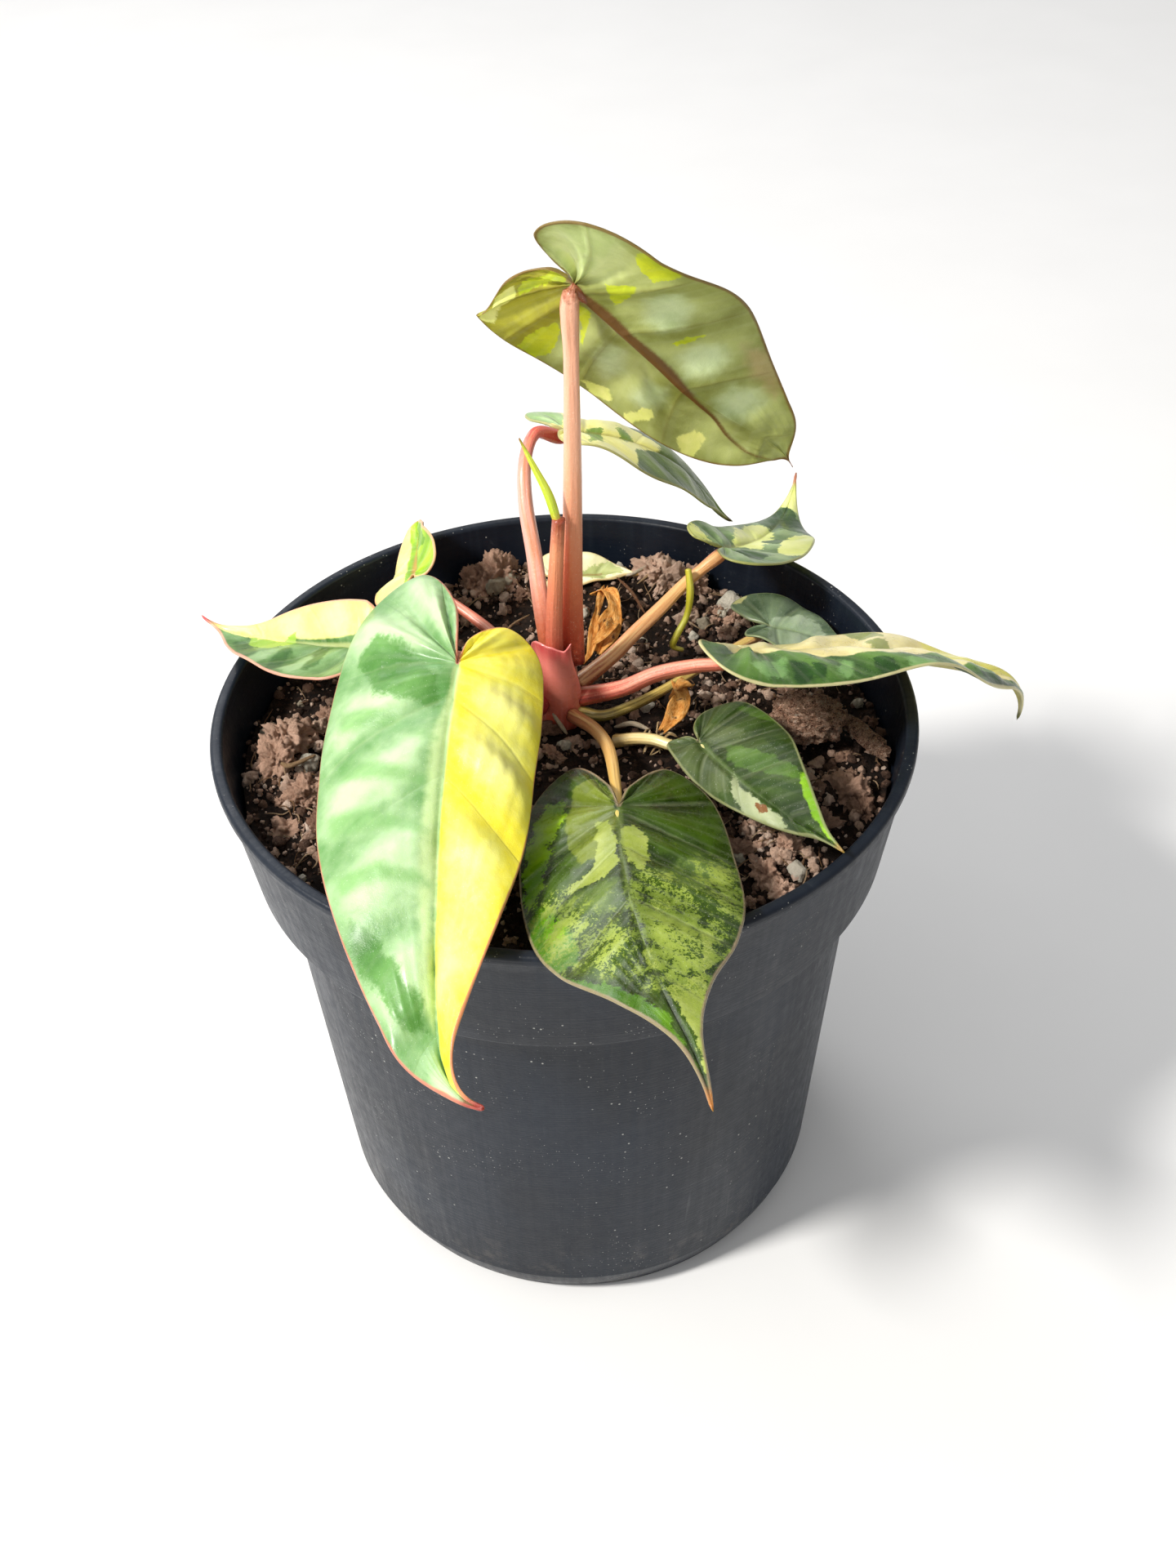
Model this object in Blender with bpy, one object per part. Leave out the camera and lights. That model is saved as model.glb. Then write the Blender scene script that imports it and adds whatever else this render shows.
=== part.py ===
# A potted foliage plant with heart-shaped leaves in a round plastic pot.
# Sizes below are millimetres; meshes are written in metres. The origin is the
# centre of the pot's underside, +Z is up and -Y is the side the big leaves hang over.
import math

import bmesh
import bpy
import numpy as np

for old in list(bpy.data.objects):
    bpy.data.objects.remove(old, do_unlink=True)

MM = 0.001
# Clear space between neighbouring pieces, and between a stalk and its blade.
GAP = 0.35
STALK_GAP = 0.55

# Pot
POT_SEGMENTS = 64
POT_HEIGHT = 116.5
LIP_RADIUS = 65.0
LIP_DEPTH = 2.2
COLLAR_TOP_RADIUS = 64.0
COLLAR_BOTTOM_RADIUS = 60.8
COLLAR_HEIGHT = 26.3
BODY_TOP_RADIUS = 56.0
BODY_BOTTOM_RADIUS = 50.3
FOOT_HEIGHT = 6.5
FOOT_RADIUS = 47.5
WALL = 1.6
FLOOR = 2.0
BEAD = 0.8
LIP_ROUND = 0.6
UNDERSIDE_RINGS = (30.0, 42.0)
HOLE_COUNT = 8
HOLE_RADIUS = 3.5
HOLE_RING = 36.0
HOLE_SIDES = 12

# Soil
SOIL_LEVEL = 105.6
SOIL_RINGS = 13
SOIL_SECTORS = 44
SOIL_EDGE_DROP = 1.2
MOUND_AT = (6.0, 51.0)
MOUND_HEIGHT = 2.6
MOUND_SPREAD = 90.0
CROWN_X = 0.1
CROWN_Y = 10.9
CROWN_RADIUS = 3.1
CROWN_BOTTOM = 101.0
CROWN_TOP = 118.6
CROWN_SIDES = 14
CROWN_LEVELS = [0.0, 0.02, 0.25, 0.5, 0.72, 0.88, 0.97, 1.0]
CROWN_SWELL = [0.80, 0.88, 0.97, 1.0, 0.97, 0.88, 0.70, 0.50]

# Split sheath that wraps the front and left of the stem: heights from the bottom
# of the hole to the rim, with the inside radius at each. The rim drops at the back.
CUP_CENTRE = (-0.5, 10.8)
CUP_FROM = 142.0
CUP_TO = 326.0
CUP_HEIGHTS = [102.0, 105.0, 109.0, 113.0, 117.0, 121.4, 125.2]
CUP_RADII = [4.05, 4.1, 4.2, 4.3, 4.3, 4.3, 4.7]
CUP_LEAN = 0.25
CUP_BACK_DROP = 6.0
CUP_BACK_FROM = 0.10
CUP_BACK_TO = 0.50
CUP_THICKNESS = 0.75
CUP_STEPS = 16
HOLE_CENTRE = (-0.3, 10.8)
HOLE_SIZE = 5.3
STEM_HOLE_SIDES = 20
STEM_HOLE_TOP = 120.0

# Flat outline of a blade: knots along the margin from the notch to the tip.
# Each knot has a distance along the midrib and a distance from it. Negative
# distances along are shares of the lobe, the others are shares of the length.
KNOTS = [0.0, 0.08, 0.18, 0.29, 0.42, 0.56, 0.70, 0.82, 0.92, 1.0]
ALONG = [0.0, -0.55, -1.0, -0.66, 0.10, 0.34, 0.57, 0.76, 0.89, 1.0]
ACROSS = [0.0, 0.10, 0.46, 0.88, 1.0, 0.92, 0.66, 0.34, 0.10, 0.0]
ANCHOR = [0.0, 0.0, 0.0, 0.0, 0.02, 0.16, 0.40, 0.65, 0.85, 1.0]
# The same for a broad blade that ends in a long narrow tail.
ALONG_TAIL = [0.0, -0.55, -1.0, -0.66, 0.08, 0.28, 0.45, 0.57, 0.76, 1.0]
ACROSS_TAIL = [0.0, 0.10, 0.46, 0.88, 1.0, 0.97, 0.78, 0.42, 0.12, 0.0]
ANCHOR_TAIL = [0.0, 0.0, 0.0, 0.0, 0.02, 0.13, 0.29, 0.43, 0.68, 1.0]
FOLD_AT = [-0.3, 0.0, 0.45, 1.0]
# Veins before this knot start at the notch itself.
FAN_END = 0.36
VEIN_BOW = 0.05

MARGIN_THICKNESS = 0.62
MIDRIB_THICKNESS = 1.2
RIB_SHARE = 0.2
NOTCH = 8
MIDRIB_STEPS = 60
LOBE_REACH = 1.1
TIP_START = 0.78
BEND_POWER = 1.3
SWAY_POWER = 1.2
PILLOW_POWER = 0.8
RIPPLES = 3.5
FINE_SHARES = [0.12, 0.45, 0.78, 1.0]
PLAIN_SHARES = [0.15, 0.6, 1.0]

# One blade: "at" is where the stalk meets it, "aim" is heading, pitch, droop,
# sway, roll and twist in degrees, "size" is length, left and right half-width,
# left and right lobe. "left" and "right" fold each half at base, middle and tip
# and then cup it. "end" is curl, hook, lobe lift, width of the tip and tail.
# "relief" is the number of veins, the height between them and the margin's wave,
# "seat" is how far the notch lies behind the middle of the lobes.
BLADES = {
    "tall": {
        "at": (4.6, 10.2, 194.4), "aim": (5, -52, -20, 25, -54, -1), "size": (59, 26, 21, 10, 11),
        "left": (3, 14, -27, 1), "right": (-15, 13, 8, 14), "end": (31, 1, 34, 0.4, -0.4),
        "relief": (7, 0.9, 0.0), "seat": 0.0, "rows": 24, "fine": True,
    },
    "arched": {
        "at": (2.5, 42.2, 149.3), "aim": (19, -16, 62, -5, -7, 19), "size": (47, 13.8, 14.4, 5, 4),
        "left": (7, 3, 17, -28), "right": (9, -4, 8, -2), "end": (-42, 4, 3, 0.9, 0.0),
        "relief": (6, 0.5, 0.4), "seat": 0.0, "rows": 16, "fine": False,
    },
    "broad": {
        "at": (-18.2, -10.1, 134.4), "aim": (-97, -11, 19, 12, 2, 6), "size": (88, 17.3, 25, 12, 29),
        "left": (-8, 5, 84, -45), "right": (3, 9, 9, -43), "end": (-57, 45, 21, 0.9, -0.2),
        "relief": (8, 1.1, 0.3), "seat": 0.0, "rows": 26, "fine": True,
    },
    "left": {
        "at": (-37.3, 10.3, 123.8), "aim": (150, -17, -13, -1, -20, 19), "size": (39, 14.4, 9, 4, 5),
        "left": (12, 13, 12, 29), "right": (12, 10, -13, 30), "end": (-54, 13, -35, 0.9, 0.0),
        "relief": (5, 0.6, 0.3), "seat": 0.0, "rows": 16, "fine": False,
    },
    "small": {
        "at": (-28.8, 36.5, 121.6), "aim": (88, -6, -12, 3, -24, -7), "size": (22.5, 9.2, 7.1, 9, 4.5),
        "left": (11, -9, 40, -35), "right": (10, 36, 42, 25), "end": (33, -2, -18, 1.1, 0.0),
        "relief": (4, 0.3, 0.2), "seat": 0.0, "rows": 12, "fine": False,
    },
    "long": {
        "at": (33.0, -2.4, 128.8), "aim": (12, -11, 23, 4, -32, 26), "size": (69, 12.6, 19.2, 3, 15.5),
        "left": (-2, 10, 14, -5), "right": (4, 26, -11, -45), "end": (72, -45, -35, 1.2, 0.0),
        "relief": (8, 0.8, 0.8), "seat": 0.0, "rows": 20, "fine": False,
    },
    "back": {
        "at": (32.4, 33.3, 127.2), "aim": (55, -27, -22, 23, 9, -4), "size": (50, 8.2, 12.9, 7, 10),
        "left": (18, -1, -15, -7), "right": (7, 9, -40, 8), "end": (-80, -14, -4, 1.2, 0.0),
        "relief": (6, 0.5, 0.3), "seat": 0.0, "rows": 16, "fine": False,
    },
    "low": {
        "at": (41.2, 25.6, 113.5), "aim": (-19, 0, 14, -15, 2, 1), "size": (17, 9, 9, 9, 4),
        "left": (9, -6, 5, -4), "right": (15, 8, 7, 13), "end": (20, -19, 1, 0.9, 0.0),
        "relief": (4, 0.4, 0.3), "seat": 0.0, "rows": 12, "fine": False,
    },
    "side": {
        "at": (24.2, -9.6, 113.9), "aim": (-68, 8, 1, 19, 15, 17), "size": (42.5, 13.3, 6, 8.4, 4),
        "left": (2, 10, 18, -11), "right": (10, -6, 14, 0), "end": (3, -8, 12, 1.1, 0.0),
        "relief": (6, 0.6, 0.4), "seat": 0.0, "rows": 16, "fine": False,
    },
    "heart": {
        "at": (8.6, -34.0, 121.0), "aim": (-92, 8, 4, 25, -4, -12), "size": (72.8, 20.2, 18.9, 19, 20.5),
        "left": (-13, 1, 12, -5), "right": (-27, -28, 20, -3), "end": (7, -17, -4, 1.0, 0.6),
        "relief": (7, 1.0, 0.3), "seat": 3.8, "rows": 24, "fine": True,
    },
    "pale": {
        "at": (-1.0, 51.8, 108.9), "aim": (2, 4, 4, -8, 0, 0), "size": (18, 7, 3.2, 3, 2),
        "left": (26, 26, 14, -20), "right": (-2, 2, 4, -10), "end": (0, 0, 0, 1.2, 0.0),
        "relief": (4, 0.3, 0.3), "seat": 0.0, "rows": 12, "fine": False,
    },
}

# Stalks: points of the centre line and the radius at its two ends. Each one runs
# on from its last point to a place just under the notch of its blade.
STALKS = {
    "tall": ([(2.2, 11.0, 119.2), (2.6, 10.1, 138.0), (3.2, 10.2, 162.0), (3.6, 10.0, 182.0)], 1.95, 1.3),
    "arched": ([(-2.1, 12.7, 119.2), (-3.4, 14.0, 129.0), (-4.3, 19.0, 136.4), (-5.6, 25.4, 144.4),
                (-5.3, 31.0, 150.2), (-3.2, 36.4, 152.2)], 1.65, 1.1),
    "broad": ([(-5.7, 5.8, 112.5), (-8.2, 2.0, 120.0), (-13.0, -4.2, 127.0)], 2.0, 1.4),
    "left": ([(-6.5, 10.6, 112.8), (-15.0, 10.5, 118.5), (-25.0, 9.0, 122.6)], 1.3, 1.0),
    "small": ([(-5.7, 13.9, 111.4), (-9.6, 20.5, 113.2), (-14.5, 26.0, 115.4),
               (-20.5, 31.0, 117.6)], 1.3, 0.9),
    "long": ([(4.7, 8.4, 111.6), (11.0, 5.6, 115.0), (17.5, 4.4, 119.0), (24.5, 2.2, 122.2),
              (29.0, 0.0, 124.0)], 1.7, 1.1),
    "back": ([(5.9, 14.0, 112.6), (9.6, 16.6, 114.3), (14.2, 21.0, 116.2), (19.6, 25.2, 119.0),
              (25.0, 30.0, 121.6)], 1.6, 1.1),
    "low": ([(3.9, 7.0, 108.4), (7.2, 5.6, 108.6), (12.4, 7.3, 109.1), (18.0, 10.8, 109.3),
             (27.0, 18.0, 109.6), (34.0, 23.0, 110.4)], 1.1, 0.8),
    "side": ([(10.6, -0.8, 107.6), (13.2, -2.6, 109.4), (16.5, -4.9, 110.8), (19.5, -6.8, 110.6)], 1.2, 0.9),
    "heart": ([(2.6, 3.4, 109.6), (5.6, -1.0, 110.6), (7.8, -9.0, 112.6), (8.5, -22.0, 115.6)], 1.6, 1.1),
}
STALK_SIDES = 8
STALK_RINGS = 11

# Young leaf still rolled up, with the sheath that it grows from.
SHEATH = ([(-1.4, 9.2, 119.2), (-1.0, 7.7, 131.0), (-0.2, 7.0, 144.0), (0.4, 7.0, 151.6)], 1.6, 1.2)
SPEAR = ([(0.2, 7.1, 152.4), (-0.6, 7.9, 156.6), (-2.8, 9.0, 161.0), (-5.8, 10.0, 166.5)], 0.75, 0.25)
SPEAR_BULGE = 0.55

# Dead parts that lie about the stem.
CURL = ([(25.2, 29.2, 125.2), (25.5, 27.2, 121.0), (24.8, 26.4, 116.2), (22.8, 24.8, 112.8),
         (22.0, 24.6, 110.2), (24.0, 24.8, 109.0)], 0.7, 0.5)
DRIED_STRIP = ([(7.4, 45.6, 108.6), (10.2, 42.0, 111.4), (11.0, 36.0, 110.6), (9.0, 31.0, 108.2),
                (7.4, 28.0, 106.9)], (2.4, 3.4, 2.9, 5.0, 2.6))
WITHERED_STRIP = ([(21.8, 10.6, 111.4), (22.6, 7.0, 110.6), (20.8, 3.6, 109.2), (18.6, 1.4, 108.0)],
                  (2.2, 3.4, 4.0, 1.4))
STRIP_THICKNESS = 0.7
STRIP_TWIST = 0.5
STRIP_EDGE_LIFT = 0.35

# Bark: centre, half sizes, turn about the vertical in degrees, seed of its faces.
BARK = {
    "bark_chunk": ((45.6, 1.2, 109.6), (6.6, 5.2, 3.0), -18, 3),
    "bark_stick": ((56.2, -4.4, 108.9), (6.6, 1.7, 1.4), -60, 8),
}

BARK_SQUARENESS = 0.6
BARK_ROUGHNESS = 0.13

# Colour in linear numbers and roughness of each slot.
COLOURS = {
    "pot_plastic": ((0.020, 0.023, 0.027), 0.45),
    "soil": ((0.045, 0.026, 0.017), 0.95),
    "bark": ((0.30, 0.16, 0.10), 0.9),
    "stem_red": ((0.55, 0.12, 0.10), 0.4),
    "stalk_pink": ((0.80, 0.30, 0.20), 0.35),
    "stalk_yellow": ((0.62, 0.42, 0.16), 0.45),
    "leaf_green": ((0.10, 0.24, 0.06), 0.3),
    "leaf_two_tone": ((0.45, 0.58, 0.12), 0.3),
    "leaf_mottled": ((0.09, 0.17, 0.04), 0.3),
    "leaf_pale": ((0.66, 0.68, 0.38), 0.45),
    "leaf_new": ((0.58, 0.66, 0.10), 0.35),
    "dried_tissue": ((0.62, 0.30, 0.06), 0.6),
}


def material(slot):
    """The plain shader of one slot."""
    colour, roughness = COLOURS[slot]
    made = bpy.data.materials.get(slot)
    if made:
        return made
    made = bpy.data.materials.new(slot)
    made.use_nodes = True
    shader = made.node_tree.nodes["Principled BSDF"]
    shader.inputs["Base Color"].default_value = (*colour, 1.0)
    shader.inputs["Roughness"].default_value = roughness
    shader.inputs["Metallic"].default_value = 0.0
    made.diffuse_color = (*colour, 1.0)
    return made


def add_object(name, points, faces, slot, smooth=True):
    """Makes one mesh object from points in millimetres."""
    mesh = bpy.data.meshes.new(name)
    mesh.from_pydata([tuple(float(v) * MM for v in p) for p in points], [], [tuple(f) for f in faces])
    mesh.validate()
    turned = bmesh.new()
    turned.from_mesh(mesh)
    bmesh.ops.recalc_face_normals(turned, faces=turned.faces)
    if turned.calc_volume(signed=True) < 0:
        bmesh.ops.reverse_faces(turned, faces=turned.faces)
    turned.to_mesh(mesh)
    turned.free()
    made = bpy.data.objects.new(name, mesh)
    bpy.context.scene.collection.objects.link(made)
    mesh.materials.append(material(slot))
    mesh.polygons.foreach_set("use_smooth", [smooth] * len(mesh.polygons))
    return made


def curve_through(knots, values, where):
    """Smooth values between knots."""
    k = np.asarray(knots, float)
    v = np.asarray(values, float)
    slope = np.empty_like(v)
    slope[1:-1] = (v[2:] - v[:-2]) / (k[2:] - k[:-2])
    slope[0] = (v[1] - v[0]) / (k[1] - k[0])
    slope[-1] = (v[-1] - v[-2]) / (k[-1] - k[-2])
    w = np.asarray(where, float)
    i = np.clip(np.searchsorted(k, w, side="right") - 1, 0, len(k) - 2)
    h = k[i + 1] - k[i]
    u = (w - k[i]) / h
    start = (2 * u**3 - 3 * u**2 + 1) * v[i] + (u**3 - 2 * u**2 + u) * h * slope[i]
    return start + (3 * u**2 - 2 * u**3) * v[i + 1] + (u**3 - u**2) * h * slope[i + 1]


def midrib_frames(blade):
    """Positions and axes along the midrib: distance, point, left and up."""
    heading, pitch, droop, sway, roll, twist = blade["aim"]
    length, _, _, lobe_left, lobe_right = blade["size"]
    curl, hook, lift, _, _ = blade["end"]
    lobe = max(lobe_left, lobe_right)
    behind = np.linspace(-lobe * LOBE_REACH, 0.0, NOTCH + 1)[:-1]
    along = np.concatenate([behind, np.linspace(0.0, length, MIDRIB_STEPS)])
    u = np.clip(along / length, 0, 1)
    tip = np.clip((u - TIP_START) / (1 - TIP_START), 0, 1) ** SWAY_POWER
    drooping = pitch - droop * u**BEND_POWER - curl * tip
    pitches = np.where(along < 0, pitch + lift * (-along / lobe), drooping)
    headings = heading + sway * u**SWAY_POWER + hook * tip
    p, h, r = np.radians(pitches), np.radians(headings), np.radians(roll + twist * u)
    ahead = np.stack([np.cos(p) * np.cos(h), np.cos(p) * np.sin(h), np.sin(p)], -1)
    level = np.stack([-np.sin(h), np.cos(h), 0 * h], -1)
    above = np.cross(ahead, level)
    left = np.cos(r)[:, None] * level + np.sin(r)[:, None] * above
    up = -np.sin(r)[:, None] * level + np.cos(r)[:, None] * above
    steps = 0.5 * (ahead[1:] + ahead[:-1]) * np.diff(along)[:, None]
    points = np.concatenate([[np.zeros(3)], np.cumsum(steps, 0)])
    return along, points - points[NOTCH] + np.array(blade["at"]), left, up


def blade_points(blade, side, t, s):
    """Points and upward normals at margin knot t and share s of the way from midrib to margin."""
    length, wide_left, wide_right, lobe_left, lobe_right = blade["size"]
    width = wide_left if side > 0 else wide_right
    lobe = lobe_left if side > 0 else lobe_right
    folds = blade["left"] if side > 0 else blade["right"]
    tail = blade["end"][4]
    seat = blade["seat"]
    veins, quilt, wave = blade["relief"]

    def mixed(plain, tailed):
        return [a * (1 - tail) + b * tail for a, b in zip(plain, tailed)]

    knots_x = [seat + (v * lobe if v < 0 else v * (length - seat)) for v in mixed(ALONG, ALONG_TAIL)]
    knots_x[0] = 0.0
    knots_y = [v * width for v in mixed(ACROSS, ACROSS_TAIL)]
    knots_y[8] *= blade["end"][3]
    margin_x = curve_through(KNOTS, knots_x, t)
    margin_y = curve_through(KNOTS, knots_y, t)
    anchor = np.maximum(curve_through(KNOTS, mixed(ANCHOR, ANCHOR_TAIL), t), 0) * length
    anchor = np.where(t < FAN_END, 0.0, anchor)
    x = anchor + (margin_x - anchor) * (s - VEIN_BOW * np.sin(math.pi * s))
    y = margin_y * s
    along, points, left, up = midrib_frames(blade)

    def sampled(values):
        return np.stack([np.interp(x, along, values[:, k]) for k in range(3)], -1)

    middle, left, up = sampled(points), sampled(left), sampled(up)
    share = np.maximum(x / length, FOLD_AT[0])
    fold = np.radians(curve_through(FOLD_AT, [folds[0], folds[0], folds[1], folds[2]], share))
    bend = math.radians(folds[3]) / width
    if abs(bend) < 1e-5:
        bend = 1e-5
    turned = fold + bend * y
    out = (np.sin(turned) - np.sin(fold)) / bend
    rise = (np.cos(fold) - np.cos(turned)) / bend
    normal = np.cos(turned)[:, None] * up - side * np.sin(turned)[:, None] * left
    pillow = quilt * np.sin(math.pi * veins * t) ** 2 * np.sin(math.pi * s) ** PILLOW_POWER
    ripple = wave * s**2 * np.sin(2 * math.pi * RIPPLES * t)
    calm = np.clip((1.0 - t) * 6, 0, 1) * np.clip(t * 8, 0, 1)
    lifted = (pillow + ripple) * calm
    return middle + side * out[:, None] * left + (rise[:, None] * up) + lifted[:, None] * normal, normal


def add_blade(name, slot):
    """One closed leaf blade: an upper face, a lower face and the margin between."""
    blade = BLADES[name]
    shares = FINE_SHARES if blade["fine"] else PLAIN_SHARES
    columns = [-s for s in reversed(shares)] + [0.0] + shares
    rows = np.linspace(0.0, 1.0, blade["rows"] + 1)
    points = []
    index = {}

    def vertex(p):
        key = tuple(np.round(p, 3))
        if key not in index:
            index[key] = len(points)
            points.append(p)
        return index[key]

    grids = []
    for lower in (False, True):
        grid = []
        for t in rows:
            row = []
            for c in columns:
                side = 1 if c >= 0 else -1
                p, n = blade_points(blade, side, np.array([t]), np.array([abs(c)]))
                if c == 0:
                    n = n + blade_points(blade, -side, np.array([t]), np.array([0.0]))[1]
                    n = n / np.linalg.norm(n)
                if lower:
                    rib = max(0.0, 1 - abs(c) / RIB_SHARE) * (1 - 0.8 * t)
                    thick = MARGIN_THICKNESS + (MIDRIB_THICKNESS - MARGIN_THICKNESS) * rib
                    if t in (0.0, 1.0):
                        n = sum(blade_points(blade, e, np.array([t]), np.array([0.0]))[1] for e in (-1, 1))
                        n = n / np.linalg.norm(n)
                        thick = MIDRIB_THICKNESS if t == 0.0 else MARGIN_THICKNESS
                    p = p - thick * n
                row.append(vertex(p[0]))
            grid.append(row)
        grids.append(grid)
    upper, under = grids
    centre = len(shares)
    # Rows that share the notch point on the upper face share one on the lower face too.
    start = upper[0][centre]
    below_start = under[0][centre]
    for r in range(len(rows)):
        if upper[r][centre] == start:
            under[r][centre] = below_start
    faces = []

    def quad(a, b, c, d):
        for tri in ((a, b, c), (a, c, d)):
            if len(set(tri)) == 3:
                faces.append(tri)

    for r in range(len(rows) - 1):
        for c in range(len(columns) - 1):
            quad(upper[r][c], upper[r + 1][c], upper[r + 1][c + 1], upper[r][c + 1])
            quad(under[r][c], under[r][c + 1], under[r + 1][c + 1], under[r + 1][c])
        quad(upper[r][0], under[r][0], under[r + 1][0], upper[r + 1][0])
        quad(upper[r][-1], upper[r + 1][-1], under[r + 1][-1], under[r][-1])
    return add_object("blade_" + name, points, faces, slot)


def joint(name, before, radius):
    """The end of a stalk: clear of the underside of its blade at the notch."""
    blade = BLADES[name]
    _, points, _, up = midrib_frames(blade)
    start, normal = points[NOTCH], up[NOTCH]
    ahead = start - np.asarray(before, float)
    ahead = ahead / np.linalg.norm(ahead)
    slope = math.sqrt(max(0.0, 1 - np.dot(ahead, normal) ** 2))
    droop = math.tan(math.radians(max(0.0, -blade["left"][0], -blade["right"][0])))
    return start - normal * (MIDRIB_THICKNESS + STALK_GAP + radius * (slope + droop))


def path_points(points, count):
    """Evenly spread points of a smooth curve through the given ones."""
    given = np.asarray(points, float)
    reach = np.concatenate([[0], np.cumsum(np.linalg.norm(np.diff(given, axis=0), axis=1))])
    where = np.linspace(0, reach[-1], count)
    return np.stack([curve_through(reach, given[:, k], where) for k in range(3)], -1)


def swept_axes(path):
    """Two axes square to the path at each point, turning as little as they can."""
    ahead = np.gradient(path, axis=0)
    ahead /= np.linalg.norm(ahead, axis=1)[:, None]
    side = np.cross(ahead[0], [0.0, 0.0, 1.0])
    if np.linalg.norm(side) < 0.2:
        side = np.cross(ahead[0], [0.0, 1.0, 0.0])
    sides = []
    for direction in ahead:
        side = side - direction * np.dot(side, direction)
        side = side / np.linalg.norm(side)
        sides.append(side)
    sides = np.array(sides)
    return ahead, sides, np.cross(ahead, sides)


def add_stalk(name, given, first, last, slot, bulge=0.0, rings=STALK_RINGS, sides=STALK_SIDES):
    """A round stalk that tapers from one radius to the other."""
    path = path_points(given, rings)
    _, across, other = swept_axes(path)
    points = []
    for i, centre in enumerate(path):
        u = i / (rings - 1)
        radius = first + (last - first) * u + bulge * math.sin(math.pi * u)
        for k in range(sides):
            turn = 2 * math.pi * k / sides
            points.append(centre + radius * (math.cos(turn) * across[i] + math.sin(turn) * other[i]))
    points.append(path[0])
    points.append(path[-1])
    faces = []
    for i in range(rings - 1):
        for k in range(sides):
            a, b = i * sides + k, i * sides + (k + 1) % sides
            faces.append((a, b, b + sides, a + sides))
    for k in range(sides):
        faces.append((len(points) - 2, (k + 1) % sides, k))
        base = (rings - 1) * sides
        faces.append((len(points) - 1, base + k, base + (k + 1) % sides))
    return add_object(name, points, faces, slot)


def add_strip(name, given, widths, slot, rows=11):
    """A curled strip of dead leaf: folded along its middle, with both faces split alike."""
    path = path_points(given, rows)
    spread = curve_through(np.linspace(0, 1, len(widths)), widths, np.linspace(0, 1, rows))
    _, across, _ = swept_axes(path)
    points = []
    for i in range(rows):
        twist = STRIP_TWIST * math.sin(3.0 * i / (rows - 1))
        flat = across[i] * math.cos(twist) + np.array([0.0, 0.0, 1.0]) * math.sin(twist)
        flat = flat / np.linalg.norm(flat)
        for level in (0.0, -STRIP_THICKNESS):
            for share, lift in ((-1.0, STRIP_EDGE_LIFT), (0.0, 0.0), (1.0, STRIP_EDGE_LIFT)):
                offset = flat * spread[i] * 0.5 * share
                points.append(path[i] + offset + np.array([0.0, 0.0, lift * spread[i] * 0.5 + level]))
    faces = []
    for i in range(rows - 1):
        a, b = 6 * i, 6 * (i + 1)
        for k in (0, 1):
            faces += [(a + k, a + k + 1, b + k + 1), (a + k, b + k + 1, b + k)]
            faces += [(a + k + 3, b + k + 4, a + k + 4), (a + k + 3, b + k + 3, b + k + 4)]
        faces += [(a, b, b + 3, a + 3), (a + 2, a + 5, b + 5, b + 2)]
    last = 6 * (rows - 1)
    faces += [(0, 3, 4, 1), (1, 4, 5, 2)]
    faces += [(last, last + 1, last + 4, last + 3), (last + 1, last + 2, last + 5, last + 4)]
    return add_object(name, points, faces, slot)


def turned_solid(name, profile, segments, slot):
    """A solid of revolution from (radius, height) pairs, both ends on the axis."""
    points = []
    rings = []
    for radius, height in profile:
        if radius == 0:
            rings.append([len(points)])
            points.append((0.0, 0.0, height))
            continue
        rings.append(list(range(len(points), len(points) + segments)))
        for k in range(segments):
            turn = 2 * math.pi * k / segments
            points.append((radius * math.cos(turn), radius * math.sin(turn), height))
    faces = []
    for low, high in zip(rings[:-1], rings[1:]):
        for k in range(segments):
            n = (k + 1) % segments
            if len(low) == 1:
                faces.append((low[0], high[n], high[k]))
            elif len(high) == 1:
                faces.append((low[k], low[n], high[0]))
            else:
                faces.append((low[k], low[n], high[n], high[k]))
    return add_object(name, points, faces, slot)


def cutter(name, x, y, radius, low, high, sides):
    """A hidden upright cylinder that a Boolean takes away."""
    profile = [(0, low), (radius, low), (radius, high), (0, high)]
    made = turned_solid(name, profile, sides, "soil")
    made.location = (x * MM, y * MM, 0.0)
    made.hide_render = True
    made.display_type = "WIRE"
    return made


def cut(target, tool):
    """Takes one hidden shape out of an object."""
    step = target.modifiers.new("cut_" + tool.name, "BOOLEAN")
    step.operation = "DIFFERENCE"
    step.solver = "EXACT"
    step.object = tool


def inner_radius(height):
    """Radius of the pot's inside above its step."""
    low, high = POT_HEIGHT - COLLAR_HEIGHT + WALL, POT_HEIGHT - LIP_DEPTH
    share = (height - low) / (high - low)
    bottom, top = COLLAR_BOTTOM_RADIUS - WALL, COLLAR_TOP_RADIUS - WALL
    return bottom + (top - bottom) * share


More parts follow.
